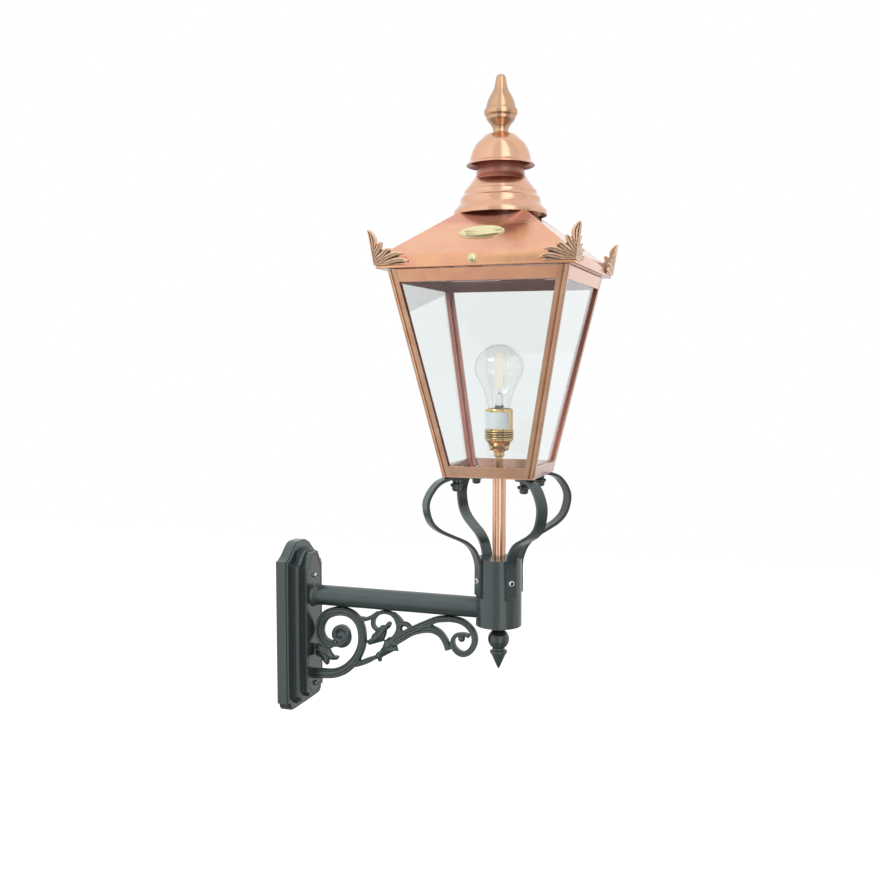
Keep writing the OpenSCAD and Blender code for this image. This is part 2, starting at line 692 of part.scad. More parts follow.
module badge() {
    color(brass) on_front_slope() difference() {
        linear_extrude(badge_t) polygon([for (a = [0:6:354]) [badge_a * cos(a), badge_b * sin(a)]]);
        for (s = [-1, 1]) translate([s * pin_x, 0, -1]) cylinder(r = pin_r + slip / 2, h = 3);
    }
}

module badge_pins() {
    color(brass) on_front_slope() for (s = [-1, 1]) translate([s * pin_x, 0, 0]) {
        cylinder(r = pin_r, h = badge_t);
        translate([0, 0, badge_t]) cylinder(r1 = pin_r + 0.7, r2 = pin_r, h = 0.6);
    }
}

// Roof screw: domed brass thumb screw through the front fascia, with a captive collar inside
screw_head_r = 5.6;
screw_head_h = 4.5;
collar_r = 4;
collar_t = 1.5;
catch_y = face_half - 6.4;
catch_t = 1.8;

module roof_screw() {
    color(brass) at_lamp() translate([0, -face_half, screw_z]) rotate([90, 0, 0]) {
        rotate_extrude($fn = FINE) polygon(concat(
            [[0, 0], [screw_head_r, 0], [screw_head_r, 1.4], [screw_head_r - 0.8, 1.4]],
            arc(0, 1.4 - 3.2, sqrt(pow(screw_head_r - 0.8, 2) + 3.2 * 3.2), 31.6, 90, 8)));
        translate([0, 0, catch_y - catch_t - face_half - 3])
            cylinder(r = roof_screw_r, h = face_half - catch_y + catch_t + 3.5);
        translate([0, 0, catch_y - catch_t - face_half - collar_t - 0.4])
            cylinder(r = collar_r, h = collar_t);
    }
}

// Roof catch: angle on top of the front rail, hidden by the fascia, with an open slot for the
// roof screw
catch_top = eave_z + 12;
catch_heel = body_half(body_top) - post_t;

module roof_catch() {
    color(copper) at_lamp() difference() {
        rotate([90, 0, 90]) linear_extrude(catch_w, center = true) polygon([
            [-catch_y, body_top], [-catch_y, catch_top], [catch_t - catch_y, catch_top],
            [catch_t - catch_y, body_top + catch_t], [-catch_heel, body_top + catch_t],
            [-catch_heel, body_top]]);
        translate([-roof_screw_r - gap, -catch_y - 1, screw_z]) cube([2 * (roof_screw_r + gap), 6, 20]);
        translate([0, -catch_y - 1, screw_z]) rotate([-90, 0, 0]) cylinder(r = roof_screw_r + gap, h = 6);
    }
}

// Hinge: two leaves and a pin along the rear edge, opposite the roof screw
hinge_y = roof_half + 3.4;
hinge_z = eave_z + 2.6;
hinge_l = 60;
knuckle_r = 2.6;
hinge_pin_r = 1.3;
hinge_t = 1.4;
knuckles = 5;
knuckle_l = hinge_l / knuckles;
hinge_bore_r = hinge_pin_r + 0.05;

module knuckle_row(first) {
    for (k = [first:2:knuckles - 1])
        translate([k * knuckle_l - hinge_l / 2 + gap / 2, 0, 0]) rotate([0, 90, 0])
            cylinder(r = knuckle_r, h = knuckle_l - gap, $fn = FINE);
}

module hinge_bore() {
    translate([-hinge_l, 0, 0]) rotate([0, 90, 0]) cylinder(r = hinge_bore_r, h = 2 * hinge_l, $fn = FINE);
}

module hinge_fixed_leaf() {
    under = eave_z - gap - hinge_t;
    foot = eave_z - 14;
    color(brass) at_lamp() difference() {
        union() {
            translate([0, hinge_y, hinge_z]) knuckle_row(0);
            for (k = [0:2:knuckles - 1])
                translate([k * knuckle_l - hinge_l / 2 + gap / 2, hinge_y - knuckle_r, under])
                    cube([knuckle_l - gap, hinge_t, hinge_z - under]);
            translate([-hinge_l / 2, 0, 0]) rotate([90, 0, 90]) linear_extrude(hinge_l) polygon([
                [hinge_y - knuckle_r + hinge_t, under], [hinge_y - knuckle_r + hinge_t, under + hinge_t],
                [body_half(under + hinge_t), under + hinge_t], [body_half(foot), foot],
                [body_half(foot) + hinge_t, foot], [body_half(under) + hinge_t, under]]);
        }
        translate([0, hinge_y, hinge_z]) hinge_bore();
    }
}

module hinge_roof_leaf() {
    color(brass) at_lamp() difference() {
        union() {
            translate([0, hinge_y, hinge_z]) knuckle_row(1);
            for (k = [1:2:knuckles - 1])
                translate([k * knuckle_l - hinge_l / 2 + gap / 2, roof_half + slip, hinge_z])
                    cube([knuckle_l - gap, hinge_t, rim_h + knuckle_r]);
            translate([-hinge_l / 2, face_half, eave_z + rim_h + gap])
                cube([hinge_l, rim + gap, fascia_h - rim_h - 1]);
        }
        translate([0, hinge_y, hinge_z]) hinge_bore();
    }
}

module hinge_pin() {
    color(brass) at_lamp() translate([-hinge_l / 2 - 1, hinge_y, hinge_z]) rotate([0, 90, 0]) {
        cylinder(r = hinge_pin_r, h = hinge_l + 2, $fn = FINE);
        for (z = [-0.8, hinge_l + 2]) translate([0, 0, z])
            cylinder(r = hinge_pin_r + 0.7, h = 0.8, $fn = FINE);
    }
}

// Crossbar: flat bar under the roof's hole that the finial's rod pulls against
bar_half = 42;
crossbar_w = 14;
crossbar_t = 3;
crossbar_z = roof_under(bar_half) - crossbar_t - slip / 2;
rod_r = 2.5;

module roof_crossbar() {
    color(steel) at_lamp() difference() {
        translate([-bar_half, -crossbar_w / 2, crossbar_z]) cube([2 * bar_half, crossbar_w, crossbar_t]);
        translate([0, 0, crossbar_z - 1]) cylinder(r = rod_r + slip, h = crossbar_t + 2);
    }
}

// Rod: threaded rod with a nut below, tying the finial, the chimney and the roof together
dome_top = roof_top + 92.7;
nut_across = 4.6;

module finial_rod() {
    color(steel) at_lamp() {
        translate([0, 0, crossbar_z - 6]) cylinder(r = rod_r, h = dome_top + 14 - crossbar_z);
        translate([0, 0, crossbar_z - 4]) cylinder(r = nut_across, h = 4, $fn = 6);
    }
}

// Vent skirt: spun copper in steps, its lip on the four hips and its neck inside the dome
skirt_foot = roof_top - 1;
lip_r = 57;
lip_z = roof_over((lip_r - sheet) / sqrt(2)) + slip;
neck_top = roof_top + 57.7;

module vent_skirt() {
    z = skirt_foot;
    color(copper) at_lamp() rotate_extrude($fn = FINE) polygon(wall_of(concat(
        [[lip_r, lip_z], [lip_r, z], [lip_r - 0.6, z + 1.8], [lip_r - 3.6, z + 5.2]],
        curve([[50, z + 9], [49.4, z + 11], [48.6, z + 17]], 2),
        [[47.4, z + 17.8], [45, z + 20.6]],
        curve([[44.6, z + 21.4], [44.2, z + 25.2]], 1),
        [[42.6, z + 26.6]],
        curve([[42, z + 28], [37, z + 33.6], [32.4, z + 40]], 3),
        [[31, z + 40.8]],
        curve([[30.4, z + 42], [29, z + 47], [28.6, z + 52]], 2),
        [[28.4, neck_top]]), sheet));
}

// Dome spider: three arms on the neck's edge with a sleeve up to the dome's top
spider_t = 3;
spider_w = 8;
sleeve_r = 4.5;

module dome_spider() {
    color(steel) at_lamp() difference() {
        union() {
            for (a = [30:120:270]) rotate([0, 0, a]) translate([0, -spider_w / 2, neck_top])
                cube([28.4, spider_w, spider_t]);
            translate([0, 0, neck_top]) cylinder(r = sleeve_r, h = dome_top - sheet - neck_top, $fn = FINE);
        }
        translate([0, 0, neck_top - 1]) cylinder(r = rod_r + slip, h = dome_top, $fn = FINE);
    }
}

// Dome cap: spun copper bell over the neck, open all round below its rim
dome_rim = neck_top - 2.2;

module dome_cap() {
    color(copper) at_lamp() difference() {
        rotate_extrude($fn = FINE) polygon(wall_of(concat(
            curve([[41.8, dome_rim], [41, dome_rim + 1.6], [38.6, dome_rim + 3.4]], 2),
            curve([[37.6, dome_rim + 4.6], [36.6, dome_rim + 10], [34.6, dome_rim + 17],
                   [30.6, dome_rim + 25], [25.4, dome_rim + 30.6], [19.4, dome_top - 1.6]], 4),
            [[17.2, dome_top - 0.8], [16.2, dome_top], [0, dome_top]]), sheet));
        translate([0, 0, dome_rim]) cylinder(r = rod_r + slip, h = dome_top, $fn = FINE);
    }
}

// Finial: hollow spun copper, screwed on the rod above the dome
finial_tip = dome_top + 71.6;

module finial() {
    color(copper) at_lamp() difference() {
        rotate_extrude($fn = FINE) polygon(concat(
            [[0, dome_top], [10.4, dome_top], [10.4, dome_top + 1.4], [9.4, dome_top + 2.6],
             [9.6, dome_top + 4.4], [9, dome_top + 5.8], [9.4, dome_top + 7]],
            curve([[8.7, dome_top + 8], [10.3, dome_top + 11.2], [15.2, dome_top + 17.2],
                   [18, dome_top + 24]], 3),
            [[19.2, dome_top + 25]],
            arc(19.2, dome_top + 28.6, 1.3, -60, 60, 4),
            [[18.4, dome_top + 32.4]],
            curve([[18.2, dome_top + 33.6], [15.2, dome_top + 42], [11.6, dome_top + 50],
                   [8.2, dome_top + 58], [6.6, dome_top + 63.6]], 3),
            arc(0, finial_tip - 5.6, 5.6, 20, 90, 6)));
        translate([0, 0, dome_top - 1]) cylinder(r = rod_r + slip / 2, h = 10, $fn = FINE);
        translate([0, 0, dome_top + 9 - EPS]) rotate_extrude($fn = FINE) polygon([
            [0, 0], [6, 0], [8.6, 3.4], [13, 8.6], [15.6, 14], [16.6, 20], [16, 25], [13, 33.4],
            [9.4, 41.4], [6, 49.4], [4, 56], [0, 57]]);
    }
}

// Lampholder: brass cup, threaded skirt and shade ring on a nipple from the base
holder_r = holder_d / 2;
cup_foot = base_z + 21.7;
cup_h = 22.3;
shell_h = 37.7;
shell_foot = cup_foot + cup_h;
shell_top = shell_foot + shell_h;
nipple_foot = base_z - 14;
cup_floor = 9;
cup_bore_r = 10.4;
wire_hole_r = 3.2;

module holder_nipple() {
    color(brass) at_lamp() difference() {
        translate([0, 0, nipple_foot]) cylinder(r = nipple_r, h = cup_foot + 4 - nipple_foot, $fn = FINE);
        translate([0, 0, nipple_foot - 1])
            cylinder(r = wire_hole_r, h = cup_foot + 8 - nipple_foot, $fn = FINE);
    }
}

module holder_base() {
    color(brass) at_lamp() difference() {
        rotate_extrude($fn = FINE) polygon([
            [0, cup_foot], [5.6, cup_foot], [6.6, cup_foot + 1], [6.6, cup_foot + 6], [8, cup_foot + 7.3],
            [11.6, cup_foot + 8.6], [12.2, cup_foot + 9.5], [13, cup_foot + 14], [14.9, cup_foot + 18.4],
            [16.6, cup_foot + 19.6], [holder_r - 0.6, shell_foot - 1.2], [holder_r - 0.6, shell_foot],
            [0, shell_foot]]);
        translate([0, 0, cup_foot - 1]) cylinder(r = nipple_r + slip / 2, h = 8, $fn = FINE);
        translate([0, 0, cup_foot + cup_floor]) cylinder(r = cup_bore_r, h = cup_h, $fn = FINE);
        translate([0, 0, cup_foot + 6]) cylinder(r = wire_hole_r, h = cup_floor, $fn = FINE);
    }
}

shell_wall = 1.2;

module holder_shell() {
    color(brass) at_lamp() difference() {
        rotate_extrude($fn = FINE) polygon(concat(
            [[holder_r - 1.3, shell_foot], [holder_r - 1.3, shell_top - 3]],
            arc(holder_r - 3.3, shell_top - 2, 2, 0, 90, 5),
            [[holder_r - 1.6 - shell_wall - 1, shell_top], [holder_r - 1.3 - shell_wall, shell_top - 2.4],
             [holder_r - 1.3 - shell_wall, shell_foot]]));
    }
}

ring_foot = shell_foot + 0.3;
ring_ribs = 4;
ring_pitch = 2.8;

module holder_ring() {
    color(brass) at_lamp() difference() {
        rotate_extrude($fn = FINE) polygon(concat(
            [[holder_r - 1.2, ring_foot]],
            [for (k = [0:ring_ribs - 1]) each [
                [holder_r - 0.4, ring_foot + k * ring_pitch],
                [holder_r, ring_foot + k * ring_pitch + 0.6],
                [holder_r, ring_foot + k * ring_pitch + 1.8],
                [holder_r - 0.4, ring_foot + k * ring_pitch + 2.4]]],
            [[holder_r - 1.2, ring_foot + ring_ribs * ring_pitch - 0.4]]));
    }
}

module holder_insulator() {
    color(white) at_lamp() translate([0, 0, shell_foot]) difference() {
        cylinder(r = holder_r - 1.4 - shell_wall - slip, h = 4, $fn = FINE);
        translate([0, 0, -1]) cylinder(r = wire_hole_r, h = 3, $fn = FINE);
    }
}

label_z = shell_foot + 13.3;
label_h = 20;
label_from = -150;
label_sweep = 120;

module holder_label() {
    color(white) at_lamp() rotate([0, 0, label_from]) rotate_extrude(angle = label_sweep, $fn = FINE)
        translate([holder_r - 1.2, label_z]) square([0.3, label_h]);
}

// Bulb: clear glass envelope with a sealed stem, filament cage and brass screw cap
bulb_r = bulb_d / 2;
cap_foot = shell_foot + 4.5;
cap_top = cap_foot + 24.2;
bulb_z = cap_top + 58.4;
cap_r = 13;
bulb_wall = 1;

module bulb_glass() {
    color(glass) at_lamp() rotate_extrude($fn = FINE) polygon(wall_of(concat(
        curve([[13.2, cap_top], [13.6, cap_top + 6], [14.4, cap_top + 13], [15.6, cap_top + 20],
               [18.4, cap_top + 29.4], [22.4, bulb_z - 20.4], [26.6, bulb_z - 12]], 3),
        arc(0, bulb_z, bulb_r, -17, 90, 16)), bulb_wall));
}

stem_foot = cap_top - 1;
stem_top = cap_top + 27;
cage_foot = stem_top + 7;
cage_top = cage_foot + 42;
cage_r = 5.2;
filament_r = 1;

module bulb_stem() {
    color(glass) at_lamp() rotate_extrude($fn = FINE) polygon(concat(
        [[0, stem_foot], [11, stem_foot], [10.6, stem_foot + 3], [6.4, stem_foot + 8], [5, stem_foot + 14]],
        [[4.4, stem_top - 7], [5, stem_top - 4], [4.4, stem_top - 1], [2, stem_top]],
        [[1.2, stem_top + 3], [1.2, cage_foot], [0, cage_foot]]));
}

module bulb_filament() {
    color("#F3D9A6") at_lamp() {
        for (a = [45:90:315]) rotate([0, 0, a]) translate([cage_r, 0, cage_foot])
            cylinder(r = filament_r, h = cage_top - cage_foot);
        for (z = [cage_foot, cage_top]) for (a = [45, 135]) translate([0, 0, z]) rotate([0, 0, a])
            translate([-cage_r, -0.5, 0]) cube([2 * cage_r, 1, 1]);
        translate([0, 0, cage_foot + 0.5]) cylinder(r = 0.8, h = cage_top - cage_foot);
    }
}

module bulb_cap() {
    color(brass) at_lamp() difference() {
        rotate_extrude($fn = FINE) polygon(concat(
            [[0, cap_foot], [4.6, cap_foot], [6, cap_foot + 1], [9, cap_foot + 4]],
            [for (k = [0:3]) each [[cap_r, cap_foot + 6.4 + 3.5 * k], [cap_r - 0.9, cap_foot + 8 + 3.5 * k]]],
            [[cap_r, cap_foot + 21], [cap_r, cap_top - 0.1], [0, cap_top - 0.1]]));
        translate([0, 0, stem_foot - 0.1]) cylinder(r = cap_r - 1, h = 6, $fn = FINE);
    }
}

// Supply cable: round cable from the terminal block through the arm, hub and riser
cable_r = 2.4;
cable_sides = 10;
CABLE_ROUTE = [
    [bar_t + block_size.x / 2 + 1, block_z - arm_z + block_size.z / 2 - 4],
    [bar_t + block_size.x / 2 + 1, block_z - arm_z + block_size.z / 2 + 4], [13, -22], [20, -9],
    [34, -2], [60, 0], [160, 0], [reach - 40, 0], [reach - 14, 3], [reach - 3, 14], [reach, 34],
    [reach, 60], [reach, 120], [reach, 170], [reach, cup_foot + 10]];

module supply_cable() {
    route = curve(CABLE_ROUTE, 4);
    n = len(route);
    c = cable_sides;
    color(dark) at_arm() polyhedron(
        points = [for (i = [0:n - 1]) let (u = left_of(route, i)) for (k = [0:c - 1]) let (a = 360 * k / c)
            [route[i].x + u.x * cable_r * cos(a), cable_r * sin(a), route[i].y + u.y * cable_r * cos(a)]],
        faces = concat(
            [[for (k = [0:c - 1]) k]],
            [[for (k = [c - 1:-1:0]) (n - 1) * c + k]],
            [for (i = [0:n - 2]) for (k = [0:c - 1])
                [i * c + k, (i + 1) * c + k, (i + 1) * c + (k + 1) % c, i * c + (k + 1) % c]]));
}

wall_plate();
mounting_bar();
plate_screws();
terminal_block();
arm_tube();
scroll_bracket();
hub();
hub_pendant();
for (i = corners) {
    strap(i);
    top_rail(i);
    corner_post(i);
    glass_pane(i);
    corner_leaf(i);
}
strap_screws();
thumb_nuts();
base_studs();
riser_tube();
base_tray();
roof();
badge();
badge_pins();
roof_screw();
roof_catch();
hinge_fixed_leaf();
hinge_roof_leaf();
hinge_pin();
roof_crossbar();
finial_rod();
vent_skirt();
dome_spider();
dome_cap();
finial();
holder_base();
holder_shell();
holder_ring();
holder_insulator();
holder_nipple();
holder_label();
bulb_glass();
bulb_stem();
bulb_filament();
bulb_cap();
supply_cable();
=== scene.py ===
import math

import bmesh
import bpy
import numpy as np
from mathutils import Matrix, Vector


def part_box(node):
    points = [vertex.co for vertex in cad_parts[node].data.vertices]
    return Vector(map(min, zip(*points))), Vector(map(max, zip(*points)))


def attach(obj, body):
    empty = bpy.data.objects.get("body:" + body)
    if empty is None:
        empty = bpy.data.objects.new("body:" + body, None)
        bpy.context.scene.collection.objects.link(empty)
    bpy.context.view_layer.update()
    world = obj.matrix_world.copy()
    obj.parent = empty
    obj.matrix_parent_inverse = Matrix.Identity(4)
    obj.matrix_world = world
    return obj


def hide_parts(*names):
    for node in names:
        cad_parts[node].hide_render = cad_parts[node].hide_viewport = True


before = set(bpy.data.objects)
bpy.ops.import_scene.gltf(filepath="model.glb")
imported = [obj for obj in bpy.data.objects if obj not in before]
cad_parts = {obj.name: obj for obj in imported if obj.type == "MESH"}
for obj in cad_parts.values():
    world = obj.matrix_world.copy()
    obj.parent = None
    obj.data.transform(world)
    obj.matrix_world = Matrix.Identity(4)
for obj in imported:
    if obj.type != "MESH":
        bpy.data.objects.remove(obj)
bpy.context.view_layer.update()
scene = bpy.context.scene
scene.view_settings.view_transform = "Standard"

# Studio. The lamp hangs in the air before white paper, which runs on round its left side and
# its back. The room behind the camera is dim, with one tall strip of light standing in it.
# Polished copper mirrors all of this, so the paper and the room decide how it looks.
PAPER = "#FFFFFF"
FLOOR = "#F4F4F2"
CAMERA_AT = (0.6328, -1.2445, 0.3517)
CAMERA_LOOK = (-0.3213, 0.9439, -0.0760)
LENS = 42.67
SENSOR = 36
FLOOR_Z = -1.0
FLOOR_HALF = 6
FLOOR_GLOW = 0.8
DAYLIGHT = 0.34
STRIP = 1.6
ROOM = 0.6
CEILING = 0.8
CEILING_FROM = 0.5
WALLS = ((-180, 1.0), (-17, 1.0), (-12, ROOM), (16, ROOM), (24, STRIP), (48, STRIP), (57, ROOM),
         (83, ROOM), (90, 0.45), (97, 0.92), (180, 1.0))
GROUND = ((-0.66, 0.34), (-0.5, 0.7), (-0.1, 1.0))
SOFT_BOXES = {"key_light": ((-0.6, -1.1, 1.8), 1.1, 58), "fill_light": ((1.9, -0.9, 0.9), 0.9, 3)}
LIGHTS_LOOK_AT = (0.2, 0, 0.3)


def srgb(code):
    """A hex colour as the linear red, green, blue and alpha that the shaders take."""
    parts = [int(code[k:k + 2], 16) / 255 for k in (1, 3, 5)]
    return [c / 12.92 if c <= 0.04045 else ((c + 0.055) / 1.055) ** 2.4 for c in parts] + [1.0]


def add_node(tree, kind, inputs=(), stops=(), **settings):
    """Adds a node, sets its properties and colour stops, and fills or links its inputs."""
    node = tree.nodes.new(kind)
    for name, value in settings.items():
        setattr(node, name, value)
    for socket, value in dict(inputs).items():
        if isinstance(value, bpy.types.NodeSocket):
            tree.links.new(value, node.inputs[socket])
        else:
            node.inputs[socket].default_value = value
    for k, (place, grey) in enumerate(stops):
        stop = node.color_ramp.elements[k] if k < 2 else node.color_ramp.elements.new(place)
        stop.position = place
        stop.color = (grey, grey, grey, 1)
    return node


def plain_rays(tree):
    """The kinds of ray, and 1 for what the camera sees, straight or through glass."""
    path = add_node(tree, "ShaderNodeLightPath")
    plain = add_node(tree, "ShaderNodeMath",
                     {0: path.outputs["Is Camera Ray"], 1: path.outputs["Is Transmission Ray"]},
                     operation="MAXIMUM")
    return path, plain


camera = bpy.data.objects.new("camera", bpy.data.cameras.new("camera"))
camera.data.lens = LENS
camera.data.sensor_width = SENSOR
camera.data.clip_start = 0.01
camera.location = CAMERA_AT
camera.rotation_mode = "QUATERNION"
camera.rotation_quaternion = Vector(CAMERA_LOOK).to_track_quat("-Z", "Y")
scene.collection.objects.link(camera)
scene.camera = camera

# What a mirror sees: the bearing of a ray, from -180 to 180 degrees with 0 at the camera's side
# of the room, picks paper, room or strip from WALLS, and its height adds ceiling and GROUND
world = bpy.data.worlds.new("studio")
scene.world = world
world.use_nodes = True
tree = world.node_tree
tree.nodes.clear()
heading = add_node(tree, "ShaderNodeTexCoord")
axes = add_node(tree, "ShaderNodeSeparateXYZ", {0: heading.outputs["Generated"]})
toward = add_node(tree, "ShaderNodeMath", {0: axes.outputs["Y"], 1: -1.0}, operation="MULTIPLY")
bearing = add_node(tree, "ShaderNodeMath", {0: axes.outputs["X"], 1: toward.outputs[0]},
                   operation="ARCTAN2")
turn = add_node(tree, "ShaderNodeMapRange",
                {"Value": bearing.outputs[0], "From Min": -math.pi, "From Max": math.pi})
walls = add_node(tree, "ShaderNodeValToRGB", {"Fac": turn.outputs[0]},
                 stops=[((angle + 180) / 360, grey / STRIP) for angle, grey in WALLS])
ceiling = add_node(tree, "ShaderNodeMapRange",
                   {"Value": axes.outputs["Z"], "From Min": 0.0, "From Max": CEILING_FROM},
                   interpolation_type="SMOOTHSTEP")
overhead = add_node(tree, "ShaderNodeMix",
                    {0: ceiling.outputs[0], 6: walls.outputs[0],
                     7: (CEILING / STRIP, CEILING / STRIP, CEILING / STRIP, 1)},
                    data_type="RGBA", blend_type="LIGHTEN")
level = add_node(tree, "ShaderNodeMapRange", {"Value": axes.outputs["Z"], "From Min": -1.0})
ground = add_node(tree, "ShaderNodeValToRGB", {"Fac": level.outputs[0]},
                  stops=[((z + 1) / 2, grey) for z, grey in GROUND])
mirrored = add_node(tree, "ShaderNodeMix",
                    {0: 1.0, 6: overhead.outputs[2], 7: ground.outputs[0]},
                    data_type="RGBA", blend_type="MULTIPLY")
path, plain = plain_rays(tree)
daylight = add_node(tree, "ShaderNodeBackground", {"Color": srgb(PAPER), "Strength": DAYLIGHT})
studio = add_node(tree, "ShaderNodeBackground", {"Color": mirrored.outputs[2], "Strength": STRIP})
paper = add_node(tree, "ShaderNodeBackground", {"Color": srgb(PAPER)})
lit = add_node(tree, "ShaderNodeMixShader",
               {0: path.outputs["Is Glossy Ray"], 1: daylight.outputs[0], 2: studio.outputs[0]})
seen = add_node(tree, "ShaderNodeMixShader",
                {0: plain.outputs[0], 1: lit.outputs[0], 2: paper.outputs[0]})
add_node(tree, "ShaderNodeOutputWorld", {"Surface": seen.outputs[0]})

# Two soft boxes: the main one high on the left before the lamp, a weaker one on the right
for name, (place, size, power) in SOFT_BOXES.items():
    light = bpy.data.lights.new(name, "AREA")
    light.shape = "SQUARE"
    light.size = size
    light.energy = power
    box = bpy.data.objects.new(name, light)
    box.location = place
    box.rotation_mode = "QUATERNION"
    aim = Vector(LIGHTS_LOOK_AT) - Vector(place)
    box.rotation_quaternion = aim.to_track_quat("-Z", "Y")
    box.visible_glossy = False
    scene.collection.objects.link(box)

# White paper floor: it shines white to the camera and in glass, and still takes a soft shadow.
# Polished metal looks through it, at the studio's own lower half.
floor_mesh = bpy.data.meshes.new("floor")
floor_mesh.from_pydata([(x * FLOOR_HALF, y * FLOOR_HALF, FLOOR_Z)
                        for x, y in ((-1, -1), (1, -1), (1, 1), (-1, 1))], [], [(0, 1, 2, 3)])
floor = bpy.data.objects.new("floor", floor_mesh)
scene.collection.objects.link(floor)
paper_floor = bpy.data.materials.new("White paper sweep, matt")
paper_floor.use_nodes = True
tree = paper_floor.node_tree
tree.nodes.clear()
path, plain = plain_rays(tree)
matt = add_node(tree, "ShaderNodeBsdfDiffuse", {"Color": srgb(FLOOR)})
glow = add_node(tree, "ShaderNodeEmission", {"Color": srgb(PAPER), "Strength": FLOOR_GLOW})
bright = add_node(tree, "ShaderNodeAddShader", {0: matt.outputs[0], 1: glow.outputs[0]})
shown = add_node(tree, "ShaderNodeMixShader",
                 {0: plain.outputs[0], 1: matt.outputs[0], 2: bright.outputs[0]})
gone = add_node(tree, "ShaderNodeBsdfTransparent")
mirror = add_node(tree, "ShaderNodeMixShader",
                  {0: path.outputs["Is Glossy Ray"], 1: shown.outputs[0], 2: gone.outputs[0]})
add_node(tree, "ShaderNodeOutputMaterial", {"Surface": mirror.outputs[0]})
floor_mesh.materials.append(paper_floor)

# Wall plate. A hollow aluminium casting in five stepped layers, with a crown above and rounded
# feet below, coated in dark green-grey powder and held to the wall by two domed screws.
MM = 0.001
POWDER = "#2A3738"
POWDER_THIN = "#354342"
COAT_PATCH = 45.0
PEEL_GRAIN = 0.55
PEEL_DEPTH = 0.04
FIXED = "bracket_and_lantern"
PLATE_EDGE = 0.9


def principled(name, **values):
    """A material with one Principled shader. Values are given by socket, with _ for a space."""
    material = bpy.data.materials.new(name)
    material.use_nodes = True
    shader = material.node_tree.nodes["Principled BSDF"]
    for socket, value in values.items():
        shader.inputs[socket.replace("_", " ")].default_value = value
    return material, material.node_tree, shader


# Polyester powder coat, oven cured: satin, with a fine orange peel a little coarser than real
# so that it shows, and the colour thinner and greener on patches a few centimetres wide
powder_coat, tree, shader = principled("Polyester powder coat on cast aluminium, satin",
                                       Roughness=0.22, IOR=1.5, Specular_IOR_Level=0.9)
place = add_node(tree, "ShaderNodeTexCoord")
patches = add_node(tree, "ShaderNodeTexNoise",
                   {"Vector": place.outputs["Object"], "Scale": 1 / (COAT_PATCH * MM),
                    "Detail": 3.0})
tint = add_node(tree, "ShaderNodeMix",
                {0: patches.outputs["Fac"], 6: srgb(POWDER), 7: srgb(POWDER_THIN)},
                data_type="RGBA")
peel = add_node(tree, "ShaderNodeTexNoise",
                {"Vector": place.outputs["Object"], "Scale": 1 / (PEEL_GRAIN * MM), "Detail": 2.0})
skin = add_node(tree, "ShaderNodeBump", {"Strength": 0.5, "Distance": PEEL_DEPTH * MM,
                                         "Height": peel.outputs["Fac"]})
tree.links.new(tint.outputs[2], shader.inputs["Base Color"])
tree.links.new(skin.outputs[0], shader.inputs["Normal"])


def smoothed(mesh, sharp=30):
    """Shades a mesh smooth, except where two faces meet at more than the sharp angle."""
    mesh.polygons.foreach_set("use_smooth", [True] * len(mesh.polygons))
    mesh.set_sharp_from_angle(angle=math.radians(sharp))
    return mesh


def held(name, mesh):
    """An object that holds a mesh while modifiers work on it."""
    holder = bpy.data.objects.new(name, mesh)
    scene.collection.objects.link(holder)
    return holder


def plain_mesh(holder):
    """The mesh that an object's modifiers make, with the object itself taken away."""
    evaluated = holder.evaluated_get(bpy.context.evaluated_depsgraph_get())
    mesh = bpy.data.meshes.new_from_object(evaluated)
    bpy.data.objects.remove(holder)
    return mesh


def made(shell, name):
    """The mesh of a finished bmesh, which is freed."""
    mesh = bpy.data.meshes.new(name)
    shell.to_mesh(mesh)
    shell.free()
    return mesh


def rounded(node, edge, segments=2, sharp=28):
    """A node's mesh with its triangles merged into faces and its edges rounded."""
    shell = bmesh.new()
    shell.from_mesh(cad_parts[node].data)
    bmesh.ops.remove_doubles(shell, verts=shell.verts, dist=0.01 * MM)
    bmesh.ops.dissolve_limit(shell, angle_limit=math.radians(0.5), verts=shell.verts,
                             edges=shell.edges)
    mesh = made(shell, node)
    mesh.materials.clear()
    holder = held(node + "_rough", smoothed(mesh, sharp))
    bevel = holder.modifiers.new("edges", "BEVEL")
    bevel.width = edge * MM
    bevel.segments = segments
    bevel.limit_method = "ANGLE"
    bevel.angle_limit = math.radians(sharp)
    bevel.harden_normals = True
    return plain_mesh(holder)


def put(name, mesh, body, material, node):
    """Puts a finished mesh in the scene: it rides on its body and stands for its CAD node."""
    piece = bpy.data.objects.new(name, mesh)
    mesh.name = name
    mesh.materials.clear()
    mesh.materials.append(material)
    scene.collection.objects.link(piece)
    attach(piece, body)
    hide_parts(node)


def dressed(name, node, body, material, edge, segments=2, sharp=28):
    """Puts a CAD node's own shape in the scene, merged and with its edges rounded."""
    put(name, rounded(node, edge, segments, sharp), body, material, node)


dressed("wall_plate_casting", "wall_plate", FIXED, powder_coat, PLATE_EDGE)

# Mounting bar. A zinc-plated steel strip, punched and tapped, that is screwed to the wall first
# and takes the plate's two screws.
ZINC = "#D6D9DB"
ZINC_DARKENED = "#1C1E1F"
ZINC_CLOUD = 2.0
ZINC_STREAK = 0.12
BAR_EDGE = 0.3

